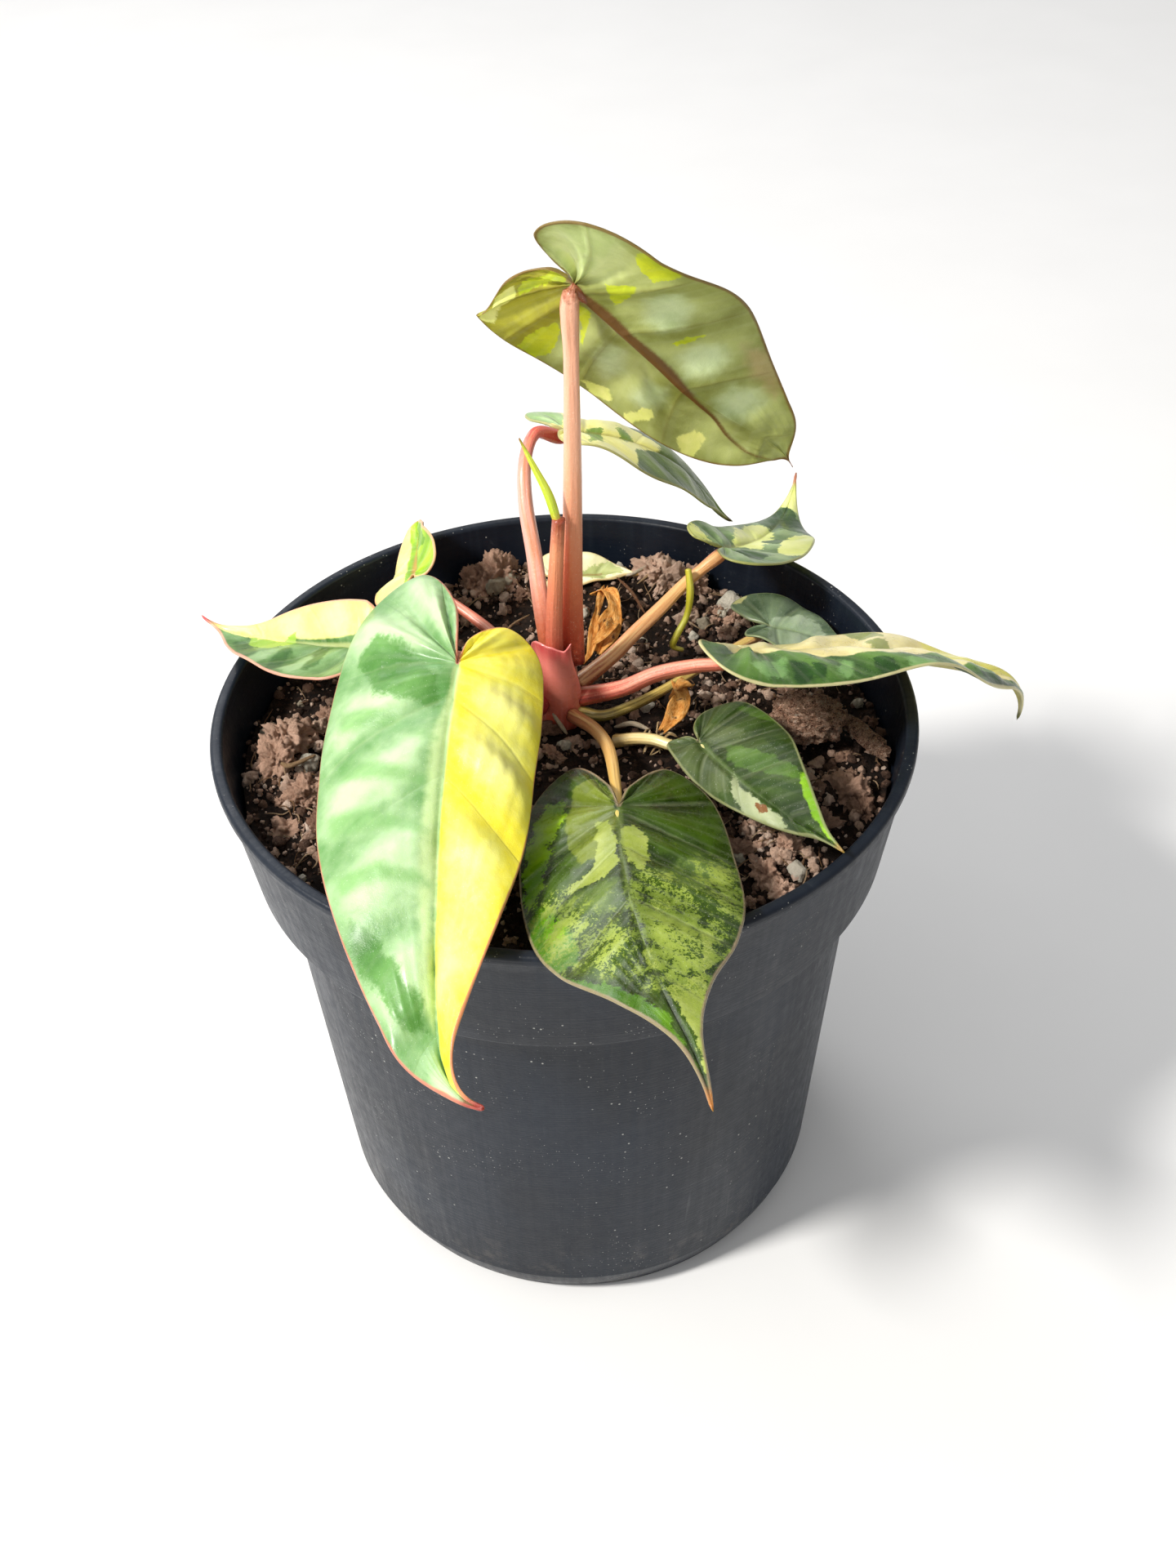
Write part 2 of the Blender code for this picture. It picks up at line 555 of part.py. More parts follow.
def add_pot():
    """The thin pot with its lip, collar, step, foot and drain holes."""
    step = POT_HEIGHT - COLLAR_HEIGHT
    lip = POT_HEIGHT - LIP_DEPTH
    inside = BODY_BOTTOM_RADIUS - WALL
    inner, outer = UNDERSIDE_RINGS
    lip_inside = LIP_RADIUS - WALL - LIP_ROUND
    profile = [
        (0, 0), (inner, 0), (outer, 0), (FOOT_RADIUS, 0), (BODY_BOTTOM_RADIUS, FOOT_HEIGHT),
        (BODY_TOP_RADIUS, step - BEAD), (BODY_TOP_RADIUS + BEAD, step),
        (COLLAR_BOTTOM_RADIUS - BEAD, step), (COLLAR_BOTTOM_RADIUS, step + BEAD),
        (COLLAR_TOP_RADIUS, lip), (LIP_RADIUS, lip + 0.1), (LIP_RADIUS, POT_HEIGHT - LIP_ROUND),
        (LIP_RADIUS - LIP_ROUND, POT_HEIGHT), (lip_inside, POT_HEIGHT),
        (lip_inside - 0.4, POT_HEIGHT - LIP_ROUND),
        (COLLAR_TOP_RADIUS - WALL, lip), (COLLAR_BOTTOM_RADIUS - WALL, step + WALL),
        (BODY_TOP_RADIUS - WALL, step + WALL), (BODY_TOP_RADIUS - WALL, step),
        (inside, FOOT_HEIGHT), (FOOT_RADIUS - WALL, FLOOR), (outer, FLOOR), (inner, FLOOR), (0, FLOOR),
    ]
    pot = turned_solid("pot", profile, POT_SEGMENTS, "pot_plastic")
    for k in range(HOLE_COUNT):
        turn = 2 * math.pi * (k + 0.5) / HOLE_COUNT
        x, y = HOLE_RING * math.cos(turn), HOLE_RING * math.sin(turn)
        cut(pot, cutter(f"drain_{k}", x, y, HOLE_RADIUS, -FLOOR, 2 * FLOOR, HOLE_SIDES))
    return pot


def soil_height(x, y):
    """Level of the soil: gently uneven, with clods and one mound at the back."""
    broad = 0.5 * math.sin(0.071 * x + 0.8) + 0.6 * math.sin(-0.055 * y + 0.3)
    clods = 0.45 * math.sin(0.37 * x + 1.1) * math.cos(0.41 * y) + 0.3 * math.sin(0.9 * x + 0.5 * y)
    away = (x - MOUND_AT[0]) ** 2 + (y - MOUND_AT[1]) ** 2
    mound = MOUND_HEIGHT * math.exp(-away / MOUND_SPREAD)
    return SOIL_LEVEL + broad + clods + mound


def add_soil():
    """The fill of the pot, with a lumpy top and a plain hole for the stem."""
    step = POT_HEIGHT - COLLAR_HEIGHT
    rim = SOIL_LEVEL - SOIL_EDGE_DROP
    profile = [
        (0, FLOOR + GAP), (FOOT_RADIUS - WALL - 1.0, FLOOR + GAP),
        (BODY_BOTTOM_RADIUS - WALL - 0.5, FOOT_HEIGHT + 0.5),
        (BODY_TOP_RADIUS - WALL - 0.4, step), (BODY_TOP_RADIUS - WALL - 0.4, step + WALL + GAP),
        (inner_radius(step + WALL) - 0.4, step + WALL + GAP), (inner_radius(rim) - 0.5, rim),
    ]
    points = [(0.0, 0.0, profile[0][1])]
    rings = [[0]]
    for radius, height in profile[1:]:
        rings.append(list(range(len(points), len(points) + SOIL_SECTORS)))
        for k in range(SOIL_SECTORS):
            turn = 2 * math.pi * k / SOIL_SECTORS
            points.append((radius * math.cos(turn), radius * math.sin(turn), height))
    outer = profile[-1][0]
    for ring in range(SOIL_RINGS - 1, 0, -1):
        radius = (outer - 0.6) * ring / (SOIL_RINGS - 1)
        rings.append(list(range(len(points), len(points) + SOIL_SECTORS)))
        for k in range(SOIL_SECTORS):
            turn = 2 * math.pi * (k + 0.5 * (ring % 2)) / SOIL_SECTORS
            x, y = radius * math.cos(turn), radius * math.sin(turn)
            points.append((x, y, soil_height(x, y)))
    rings.append([len(points)])
    points.append((0.0, 0.0, soil_height(0.0, 0.0)))
    faces = []
    for low, high in zip(rings[:-1], rings[1:]):
        for k in range(SOIL_SECTORS):
            n = (k + 1) % SOIL_SECTORS
            if len(low) == 1:
                faces.append((low[0], high[n], high[k]))
            elif len(high) == 1:
                faces.append((low[k], low[n], high[0]))
            else:
                faces += [(low[k], low[n], high[n]), (low[k], high[n], high[k])]
    soil = add_object("soil", points, faces, "soil")
    hole_bottom = CROWN_BOTTOM - 0.5
    cut(soil, cutter("stem_hole", *HOLE_CENTRE, HOLE_SIZE, hole_bottom, STEM_HOLE_TOP, STEM_HOLE_SIDES))
    return soil


def add_crown():
    """The short swollen stem that every stalk comes from."""
    rise = CROWN_TOP - CROWN_BOTTOM
    profile = [(0, CROWN_BOTTOM)]
    profile += [(CROWN_RADIUS * r, CROWN_BOTTOM + rise * h) for r, h in zip(CROWN_SWELL, CROWN_LEVELS)]
    profile.append((0, CROWN_TOP))
    crown = turned_solid("crown", profile, CROWN_SIDES, "stem_red")
    for v in crown.data.vertices:
        v.co.x += CROWN_X * MM
        v.co.y += CROWN_Y * MM
    return crown


def add_cup():
    """The split sheath round the stem, open at the back right, its rim flared and uneven."""
    turns = np.radians(np.linspace(CUP_FROM, CUP_TO, CUP_STEPS + 1))
    rows = len(CUP_HEIGHTS)
    points = []
    for outside in (0, 1):
        for height, radius in zip(CUP_HEIGHTS, CUP_RADII):
            for share, turn in zip(np.linspace(0, 1, CUP_STEPS + 1), turns):
                rise = (height - CUP_HEIGHTS[0]) / (CUP_HEIGHTS[-1] - CUP_HEIGHTS[0])
                lean = CUP_LEAN * rise**6 * math.sin(3 * turn)
                r = radius + lean + outside * CUP_THICKNESS
                front = float(np.clip((share - CUP_BACK_FROM) / (CUP_BACK_TO - CUP_BACK_FROM), 0, 1))
                drop = CUP_BACK_DROP * (1 - front * front * (3 - 2 * front)) * rise
                x, y = CUP_CENTRE[0] + r * math.cos(turn), CUP_CENTRE[1] + r * math.sin(turn)
                points.append((x, y, height - drop))
    faces = []
    across = CUP_STEPS + 1
    half = rows * across

    def quad(a, b, c, d):
        faces.append((a, b, c))
        faces.append((a, c, d))

    for i in range(rows - 1):
        for k in range(CUP_STEPS):
            a = i * across + k
            quad(a, a + across, a + across + 1, a + 1)
            quad(half + a, half + a + 1, half + a + across + 1, half + a + across)
    for k in range(CUP_STEPS):
        top = (rows - 1) * across + k
        quad(k, k + 1, half + k + 1, half + k)
        quad(top, half + top, half + top + 1, top + 1)
    for i in range(rows - 1):
        left, right = i * across, i * across + CUP_STEPS
        quad(left, half + left, half + left + across, left + across)
        quad(right, right + across, half + right + across, half + right)
    return add_object("base_sheath", points, faces, "stem_red")


def add_bark(name):
    """A rough lump: a ball pushed towards a box, with its faces broken up."""
    (cx, cy, cz), half, angle, seed = BARK[name]
    dice = np.random.default_rng(seed)
    turn = math.radians(angle)
    made = bmesh.new()
    bmesh.ops.create_icosphere(made, subdivisions=2, radius=1.0)
    for v in made.verts:
        d = np.array(v.co)
        d = np.sign(d) * np.abs(d) ** BARK_SQUARENESS
        d = d * half * (1 + BARK_ROUGHNESS * (dice.random() - 0.5))
        x = cx + d[0] * math.cos(turn) - d[1] * math.sin(turn)
        y = cy + d[0] * math.sin(turn) + d[1] * math.cos(turn)
        v.co = (x * MM, y * MM, (cz + d[2]) * MM)
    mesh = bpy.data.meshes.new(name)
    made.to_mesh(mesh)
    made.free()
    lump = bpy.data.objects.new(name, mesh)
    bpy.context.scene.collection.objects.link(lump)
    mesh.materials.append(material("bark"))
    return lump


add_pot()
add_soil()
add_crown()
add_cup()

BLADE_SLOTS = {
    "tall": "leaf_green", "arched": "leaf_two_tone", "broad": "leaf_two_tone", "left": "leaf_two_tone",
    "small": "leaf_new", "long": "leaf_two_tone", "back": "leaf_mottled", "low": "leaf_green",
    "side": "leaf_mottled", "heart": "leaf_mottled", "pale": "leaf_pale",
}
for leaf, leaf_slot in BLADE_SLOTS.items():
    add_blade(leaf, leaf_slot)

YELLOW_STALKS = ("back", "low", "side", "heart")
for stalk, (line, thick_end, thin_end) in STALKS.items():
    stalk_slot = "stalk_yellow" if stalk in YELLOW_STALKS else "stalk_pink"
    line = line + [joint(stalk, line[-1], thin_end)]
    add_stalk("stalk_" + stalk, line, thick_end, thin_end, stalk_slot)

add_stalk("young_sheath", *SHEATH, "stalk_pink", rings=8)
add_stalk("young_spear", *SPEAR, "leaf_new", bulge=SPEAR_BULGE, rings=9)
add_stalk("curled_stalk", *CURL, "leaf_new", rings=12, sides=6)
add_strip("dried_leaf", *DRIED_STRIP, "dried_tissue")
add_strip("withered_leaf", *WITHERED_STRIP, "dried_tissue", rows=9)
for lump_name in BARK:
    add_bark(lump_name)
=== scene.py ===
import math

import bmesh
import bpy
import numpy as np
from mathutils import Matrix, Vector
from mathutils import noise as field


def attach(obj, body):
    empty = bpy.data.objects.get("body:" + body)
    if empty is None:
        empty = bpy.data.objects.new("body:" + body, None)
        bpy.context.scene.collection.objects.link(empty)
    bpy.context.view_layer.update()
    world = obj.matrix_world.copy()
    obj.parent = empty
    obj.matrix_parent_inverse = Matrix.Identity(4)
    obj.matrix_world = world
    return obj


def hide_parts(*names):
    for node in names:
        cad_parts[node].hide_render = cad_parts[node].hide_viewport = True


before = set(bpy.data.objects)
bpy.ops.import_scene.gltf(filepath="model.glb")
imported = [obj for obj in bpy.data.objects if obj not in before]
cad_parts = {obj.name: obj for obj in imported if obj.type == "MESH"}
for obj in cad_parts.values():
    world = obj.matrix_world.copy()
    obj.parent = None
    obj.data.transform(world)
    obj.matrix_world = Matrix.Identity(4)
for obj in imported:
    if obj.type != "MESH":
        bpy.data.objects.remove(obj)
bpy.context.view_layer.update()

# Lengths are millimetres and colours are sRGB from 0 to 255 unless a line says otherwise.
MM = 0.001
scene = bpy.context.scene
scene.view_settings.view_transform = "Standard"

# The photograph's view

CAMERA_AT = (0.0, -260.8, 322.9)
CAMERA_TURN = (0.88, 40.97, -1.75)
CAMERA_LENS = 55.0
CAMERA_SENSOR = 36.0


def add_camera():
    """The camera, from its yaw, downward pitch and roll."""
    yaw, pitch, roll = (math.radians(a) for a in CAMERA_TURN)
    ahead = Vector((math.sin(yaw) * math.cos(pitch), math.cos(yaw) * math.cos(pitch), -math.sin(pitch)))
    level = Vector((math.cos(yaw), -math.sin(yaw), 0.0))
    above = level.cross(ahead)
    right = level * math.cos(roll) + above * math.sin(roll)
    up = above * math.cos(roll) - level * math.sin(roll)
    data = bpy.data.cameras.new("camera")
    data.sensor_fit = "HORIZONTAL"
    data.sensor_width = CAMERA_SENSOR
    data.lens = CAMERA_LENS
    data.clip_start = 0.01
    data.clip_end = 30.0
    camera = bpy.data.objects.new("camera", data)
    turned = Matrix((right, up, -ahead)).transposed().to_4x4()
    turned.translation = Vector(CAMERA_AT) * MM
    camera.matrix_world = turned
    scene.collection.objects.link(camera)
    scene.camera = camera


# Node graphs

def srgb(colour):
    """A linear colour from sRGB numbers."""
    parts = [c / 255.0 for c in colour]
    return tuple(c / 12.92 if c <= 0.04045 else ((c + 0.055) / 1.055) ** 2.4 for c in parts) + (1.0,)


class Wire:
    """An output of a node, joined by + - * to other outputs and to numbers."""

    def __init__(self, graph, socket):
        self.graph = graph
        self.socket = socket

    def __add__(self, other):
        return self.graph.math("ADD", self, other)

    def __sub__(self, other):
        return self.graph.math("SUBTRACT", self, other)

    def __mul__(self, other):
        return self.graph.math("MULTIPLY", self, other)


class Graph:
    """One material and short calls that add its nodes."""

    def __init__(self, name, roughness=0.5, specular=0.5):
        self.material = bpy.data.materials.new(name)
        self.material.use_nodes = True
        self.tree = self.material.node_tree
        self.shader = self.tree.nodes["Principled BSDF"]
        self.fix({"Roughness": roughness, "Specular IOR Level": specular})

    def fix(self, values):
        """Sets what is the same all over the surface."""
        for key, value in values.items():
            self.shader.inputs[key].default_value = value

    def put(self, socket, value):
        """Sets an input to a number or a colour, or wires another node into it."""
        if isinstance(value, Wire):
            self.tree.links.new(value.socket, socket)
        elif isinstance(value, tuple) and socket.type == "RGBA":
            socket.default_value = srgb(value)
        else:
            socket.default_value = value

    def node(self, kind, values, output=0, **settings):
        """One output of a new node that has these inputs and settings."""
        made = self.tree.nodes.new("ShaderNode" + kind)
        for key, value in settings.items():
            setattr(made, key, value)
        for key, value in values.items():
            self.put(made.inputs[key], value)
        return Wire(self, made.outputs[output])

    def math(self, operation, a, b=0.0):
        return self.node("Math", {0: a, 1: b}, operation=operation)

    def join(self, x, y, z=0.0):
        return self.node("CombineXYZ", {0: x, 1: y, 2: z})

    def parts(self, vector):
        """The three numbers of a vector."""
        made = self.node("SeparateXYZ", {0: vector}).socket.node
        return [Wire(self, made.outputs[k]) for k in range(3)]

    def values(self, name):
        """The three numbers that each point stores under a name."""
        return self.parts(self.node("Attribute", {}, "Vector", attribute_name=name))

    def place(self):
        """Where a point is on the object, in millimetres."""
        at = self.node("NewGeometry", {}, "Position")
        return self.node("VectorMath", {0: at, "Scale": 1.0 / MM}, operation="SCALE")

    def noise(self, vector, scale, detail=2.0, rough=0.5, bend=0.0):
        return self.node("TexNoise", {"Vector": vector, "Scale": scale, "Detail": detail,
                                      "Roughness": rough, "Distortion": bend}, "Fac")

    def cells(self, vector, scale):
        return self.node("TexVoronoi", {"Vector": vector, "Scale": scale}, "Distance")

    def step(self, value, low, high):
        """0 below low, 1 above high and smooth between; low above high turns it round."""
        ends = (low, high, 0.0, 1.0) if low < high else (high, low, 1.0, 0.0)
        return self.span(value, *ends, kind="SMOOTHSTEP")

    def span(self, value, low, high, out_low, out_high, kind="LINEAR"):
        """A number that runs from out_low at low to out_high at high."""
        ends = {"From Min": low, "From Max": high, "To Min": out_low, "To Max": out_high}
        return self.node("MapRange", {"Value": value, **ends}, interpolation_type=kind)

    def mix(self, share, a, b):
        """A colour between a and b."""
        return self.node("Mix", {0: share, 6: a, 7: b}, 2, data_type="RGBA")

    def ramp(self, value, stops):
        """A colour from (position, colour) stops."""
        made = self.node("ValToRGB", {0: value})
        line = made.socket.node.color_ramp.elements
        line[0].position, line[0].color = stops[0][0], srgb(stops[0][1])
        line[1].position, line[1].color = stops[-1][0], srgb(stops[-1][1])
        for position, colour in stops[1:-1]:
            line.new(position).color = srgb(colour)
        return made

    def bump(self, height, depth, below=None):
        """Relief of so many millimetres, over the relief below it."""
        values = {"Height": height, "Distance": depth * MM}
        if below:
            values["Normal"] = below
        return self.node("Bump", values)

    def finish(self, colour, roughness=None, normal=None):
        """The material with these colours, roughness and relief."""
        for key, value in (("Base Color", colour), ("Roughness", roughness), ("Normal", normal)):
            if value:
                self.put(self.shader.inputs[key], value)
        return self.material


# Pieces

def add_piece(name, points, faces, materials, replaced=(), vectors=None, face_slots=None, tidy=True):
    """One piece that rides on the object, from points in millimetres; tidy turns its faces outwards."""
    mesh = bpy.data.meshes.new(name)
    mesh.from_pydata((np.asarray(points, float) * MM).tolist(), [], faces)
    for key, values in (vectors or {}).items():
        layer = mesh.attributes.new(key, "FLOAT_VECTOR", "POINT")
        layer.data.foreach_set("vector", np.asarray(values, np.float32).ravel())
    for material in materials:
        mesh.materials.append(material)
    mesh.polygons.foreach_set("use_smooth", [True] * len(mesh.polygons))
    if face_slots is not None:
        mesh.polygons.foreach_set("material_index", face_slots)
    if tidy:
        turned = bmesh.new()
        turned.from_mesh(mesh)
        bmesh.ops.recalc_face_normals(turned, faces=turned.faces)
        if turned.calc_volume(signed=True) < 0:
            bmesh.ops.reverse_faces(turned, faces=turned.faces)
        turned.to_mesh(mesh)
        turned.free()
    mesh.update()
    made = bpy.data.objects.new(name, mesh)
    scene.collection.objects.link(made)
    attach(made, "root")
    if replaced:
        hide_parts(*replaced)
    return made


def curve_through(knots, values, where):
    """Smooth values between knots."""
    k = np.asarray(knots, float)
    v = np.asarray(values, float)
    slope = np.empty_like(v)
    slope[1:-1] = (v[2:] - v[:-2]) / (k[2:] - k[:-2])
    slope[0] = (v[1] - v[0]) / (k[1] - k[0])
    slope[-1] = (v[-1] - v[-2]) / (k[-1] - k[-2])
    w = np.asarray(where, float)
    i = np.clip(np.searchsorted(k, w, side="right") - 1, 0, len(k) - 2)
    h = k[i + 1] - k[i]
    u = (w - k[i]) / h
    start = (2 * u**3 - 3 * u**2 + 1) * v[i] + (u**3 - 2 * u**2 + u) * h * slope[i]
    return start + (3 * u**2 - 2 * u**3) * v[i + 1] + (u**3 - u**2) * h * slope[i + 1]


def smooth(low, high, value):
    """0 at low, 1 at high and smooth between."""
    u = np.clip((np.asarray(value, float) - low) / (high - low), 0.0, 1.0)
    return u * u * (3 - 2 * u)


def sheet_faces(rows, columns, start=0, closed=False):
    """Faces of a grid of points; a closed one joins its last column to its first."""
    faces = []
    for i in range(rows - 1):
        for k in range(columns if closed else columns - 1):
            a, b = start + i * columns + k, start + i * columns + (k + 1) % columns
            faces.append((a, b, b + columns, a + columns))
    return faces


def slab_faces(rows, columns):
    """Faces of a closed slab between two grids of points, one listed after the other."""
    half = rows * columns
    rim = list(range(columns)) + [(i + 1) * columns - 1 for i in range(1, rows)]
    rim += [half - 1 - k for k in range(1, columns)] + [i * columns for i in range(rows - 2, 0, -1)]
    faces = sheet_faces(rows, columns) + sheet_faces(rows, columns, half)
    return faces + [(a, b, b + half, a + half) for a, b in zip(rim, rim[1:] + rim[:1])]


def reach_along(points):
    """Distance of each point from the first, along the line."""
    return np.concatenate([[0], np.cumsum(np.linalg.norm(np.diff(points, axis=0), axis=1))])


# Leaves: the same surface as the solid blades, on a finer grid

# A blade's outline at the knots of its margin: how far along it lies as a share of lobe or
# length, how far across, and where its vein starts. The second set is for a long drip tip.
KNOTS = [0.0, 0.08, 0.18, 0.29, 0.42, 0.56, 0.70, 0.82, 0.92, 1.0]
ALONG = [0.0, -0.55, -1.0, -0.66, 0.10, 0.34, 0.57, 0.76, 0.89, 1.0]
ACROSS = [0.0, 0.10, 0.46, 0.88, 1.0, 0.92, 0.66, 0.34, 0.10, 0.0]
ANCHOR = [0.0, 0.0, 0.0, 0.0, 0.02, 0.16, 0.40, 0.65, 0.85, 1.0]
ALONG_TAIL = [0.0, -0.55, -1.0, -0.66, 0.08, 0.28, 0.45, 0.57, 0.76, 1.0]
ACROSS_TAIL = [0.0, 0.10, 0.46, 0.88, 1.0, 0.97, 0.78, 0.42, 0.12, 0.0]
ANCHOR_TAIL = [0.0, 0.0, 0.0, 0.0, 0.02, 0.13, 0.29, 0.43, 0.68, 1.0]
FOLD_AT = [-0.3, 0.0, 0.45, 1.0]
LEAF_THICKNESS = 0.5
RIB_DEPTH = 0.75

# Entry of the notch in the list of points along the midrib.
NOTCH = 8
# Points of a blade that lie this close together, in millimetres, become one.
WELD = 0.004
# How many painted fields a leaf stores.
FIELDS = 6

# at; heading, pitch, droop, sway, roll, twist; length, half-widths and lobes; folds and
# cup of each half; curl, hook, lobe lift, tip width and tail; veins, quilting and wave
BLADES = {
    "tall": ((4.6, 10.2, 194.4), (5, -52, -20, 25, -54, -1), (59, 26, 21, 10, 11), (3, 14, -27, 1),
             (-15, 13, 8, 14), (31, 1, 34, 0.4, -0.4), (7, 0.9, 0.0)),
    "arched": ((2.5, 42.2, 149.3), (19, -16, 62, -5, -7, 19), (47, 13.8, 14.4, 5, 4), (7, 3, 17, -28),
               (9, -4, 8, -2), (-42, 4, 3, 0.9, 0.0), (6, 0.5, 0.4)),
    "broad": ((-18.2, -10.1, 134.4), (-97, -11, 19, 12, 2, 6), (88, 17.3, 25, 12, 29), (-8, 5, 84, -45),
              (3, 9, 9, -43), (-57, 45, 21, 0.9, -0.2), (8, 1.1, 0.3)),
    "left": ((-37.3, 10.3, 123.8), (150, -17, -13, -1, -20, 19), (39, 14.4, 9, 4, 5), (12, 13, 12, 29),
             (12, 10, -13, 30), (-54, 13, -35, 0.9, 0.0), (5, 0.6, 0.3)),
    "small": ((-28.8, 36.5, 121.6), (88, -6, -12, 3, -24, -7), (22.5, 9.2, 7.1, 9, 4.5), (11, -9, 40, -35),
              (10, 36, 42, 25), (33, -2, -18, 1.1, 0.0), (4, 0.3, 0.2)),
    "long": ((33.0, -2.4, 128.8), (12, -11, 23, 4, -32, 26), (69, 12.6, 19.2, 3, 15.5), (-2, 10, 14, -5),
             (4, 26, -11, -45), (72, -45, -35, 1.2, 0.0), (8, 0.8, 0.8)),
    "back": ((32.4, 33.3, 127.2), (55, -27, -22, 23, 9, -4), (50, 8.2, 12.9, 7, 10), (18, -1, -15, -7),
             (7, 9, -40, 8), (-80, -14, -4, 1.2, 0.0), (6, 0.5, 0.3)),
    "low": ((41.2, 25.6, 113.5), (-19, 0, 14, -15, 2, 1), (17, 9, 9, 9, 4), (9, -6, 5, -4),
            (15, 8, 7, 13), (20, -19, 1, 0.9, 0.0), (4, 0.4, 0.3)),
    "side": ((24.2, -9.6, 113.9), (-68, 8, 1, 19, 15, 17), (42.5, 13.3, 6, 8.4, 4), (2, 10, 18, -11),
             (10, -6, 14, 0), (3, -8, 12, 1.1, 0.0), (6, 0.6, 0.4)),
    "heart": ((8.6, -34.0, 121.0), (-92, 8, 4, 25, -4, -12), (72.8, 20.2, 18.9, 19, 20.5), (-13, 1, 12, -5),
              (-27, -28, 20, -3), (7, -17, -4, 1.0, 0.6), (7, 1.0, 0.3)),
    "pale": ((-1.0, 51.8, 108.9), (2, 4, 4, -8, 0, 0), (18, 7, 3.2, 3, 2), (26, 26, 14, -20),
             (-2, 2, 4, -10), (0, 0, 0, 1.2, 0.0), (4, 0.3, 0.3)),
}
FINE_LEAVES = ("tall", "broad", "heart")
# How far the notch lies behind the middle of the lobes, and how much the leaf swells between veins.
SEAT = {"heart": 3.8}
SWELL = {"tall": 1.25, "broad": 1.35, "heart": 0.7, "long": 1.2}
# Sideways way of the rib at even distances along a leaf whose rib isn't straight, and its width.
RIB_WAY = {"tall": [0.0, -0.8, -0.4, 1.6, 4.2, 0.0]}
RIB_WIDTH = {"tall": 1.15}


def midrib_frames(blade):
    """Distance, point, left and up along the midrib."""
    at, aim, size, _, _, end, _ = blade
    heading, pitch, droop, sway, roll, twist = aim
    length, lobe = size[0], max(size[3:])
    curl, hook, lift = end[:3]
    along = np.concatenate([np.linspace(-lobe * 1.1, 0.0, NOTCH + 1)[:-1], np.linspace(0.0, length, 60)])
    u = np.clip(along / length, 0, 1)
    tip = np.clip((u - 0.78) / 0.22, 0, 1) ** 1.2
    p = np.radians(np.where(along < 0, pitch + lift * (-along / lobe), pitch - droop * u**1.3 - curl * tip))
    h = np.radians(heading + sway * u**1.2 + hook * tip)
    r = np.radians(roll + twist * u)
    ahead = np.stack([np.cos(p) * np.cos(h), np.cos(p) * np.sin(h), np.sin(p)], -1)
    level = np.stack([-np.sin(h), np.cos(h), 0 * h], -1)
    above = np.cross(ahead, level)
    left = np.cos(r)[:, None] * level + np.sin(r)[:, None] * above
    up = np.cos(r)[:, None] * above - np.sin(r)[:, None] * level
    steps = 0.5 * (ahead[1:] + ahead[:-1]) * np.diff(along)[:, None]
    points = np.concatenate([[np.zeros(3)], np.cumsum(steps, 0)])
    return along, points - points[NOTCH] + np.array(at), left, up


def flat_margin(name, side, t):
    """Where the margin and the foot of its vein are on the flat leaf."""
    _, _, size, _, _, end, _ = BLADES[name]
    seat = SEAT.get(name, 0.0)
    length, wide_left, wide_right, lobe_left, lobe_right = size
    width, lobe = (wide_left, lobe_left) if side > 0 else (wide_right, lobe_right)
    tail = end[4]

    def mixed(plain, tailed):
        return [a * (1 - tail) + b * tail for a, b in zip(plain, tailed)]

    knots_y = [v * width for v in mixed(ACROSS, ACROSS_TAIL)]
    knots_y[8] *= end[3]
    knots_x = [seat + (v * lobe if v < 0 else v * (length - seat)) for v in mixed(ALONG, ALONG_TAIL)]
    knots_x[0] = 0.0
    x = curve_through(KNOTS, knots_x, t)
    y = curve_through(KNOTS, knots_y, t)
    anchor = np.maximum(curve_through(KNOTS, mixed(ANCHOR, ANCHOR_TAIL), t), 0) * length
    return x, y, np.where(t < 0.36, 0.0, anchor)


def leaf_surface(name, side, t, s):
    """Upper points, normals and flat coordinates at margin knots t and shares s from midrib to margin."""
    blade = BLADES[name]
    _, _, size, fold_left, fold_right, _, (veins, quilt, wave) = blade
    length = size[0]
    width, folds = (size[1], fold_left) if side > 0 else (size[2], fold_right)
    margin_x, margin_y, anchor = flat_margin(name, side, t)
    x = anchor + (margin_x - anchor) * (s - 0.05 * np.sin(math.pi * s))
    y = margin_y * s
    along, points, left, up = midrib_frames(blade)

    def sampled(values):
        return np.stack([np.interp(x, along, values[:, k]) for k in range(3)], -1)

    middle, left, up = sampled(points), sampled(left), sampled(up)
    share = np.maximum(x / length, FOLD_AT[0])
    fold = np.radians(curve_through(FOLD_AT, [folds[0], folds[0], folds[1], folds[2]], share))
    bend = math.radians(folds[3]) / width or 1e-5
    turned = fold + bend * y
    out = (np.sin(turned) - np.sin(fold)) / bend
    rise = (np.cos(fold) - np.cos(turned)) / bend
    normal = np.cos(turned)[:, None] * up - side * np.sin(turned)[:, None] * left
    # rounded swellings between the veins, each of its own height, with smaller dents over them
    crest = np.sin(math.pi * veins * t + 0.35 * np.sin(9.0 * t + 2.0 * s + side)) ** 2
    swell = quilt * SWELL.get(name, 1.0) * (1.0 + 0.35 * np.sin(11.0 * t + 1.5 * side))
    pillow = swell * crest * np.sin(math.pi * s) ** 0.7
    pillow += 0.16 * swell * np.sin(15.0 * t * veins + 6.0 * s + side) * np.sin(math.pi * s)
    pillow += 0.10 * swell * np.sin(41.0 * s + 7.0 * t) * np.sin(23.0 * t + side) * np.sin(math.pi * s)
    ripple = wave * s**2 * np.sin(2 * math.pi * 3.5 * t)
    calm = np.clip((1.0 - t) * 6, 0, 1) * np.clip(t * 8, 0, 1)
    lift = (pillow + ripple) * calm
    place = middle + side * out[:, None] * left + rise[:, None] * up + lift[:, None] * normal
    return place, normal, np.stack([x, y * side], -1), crest


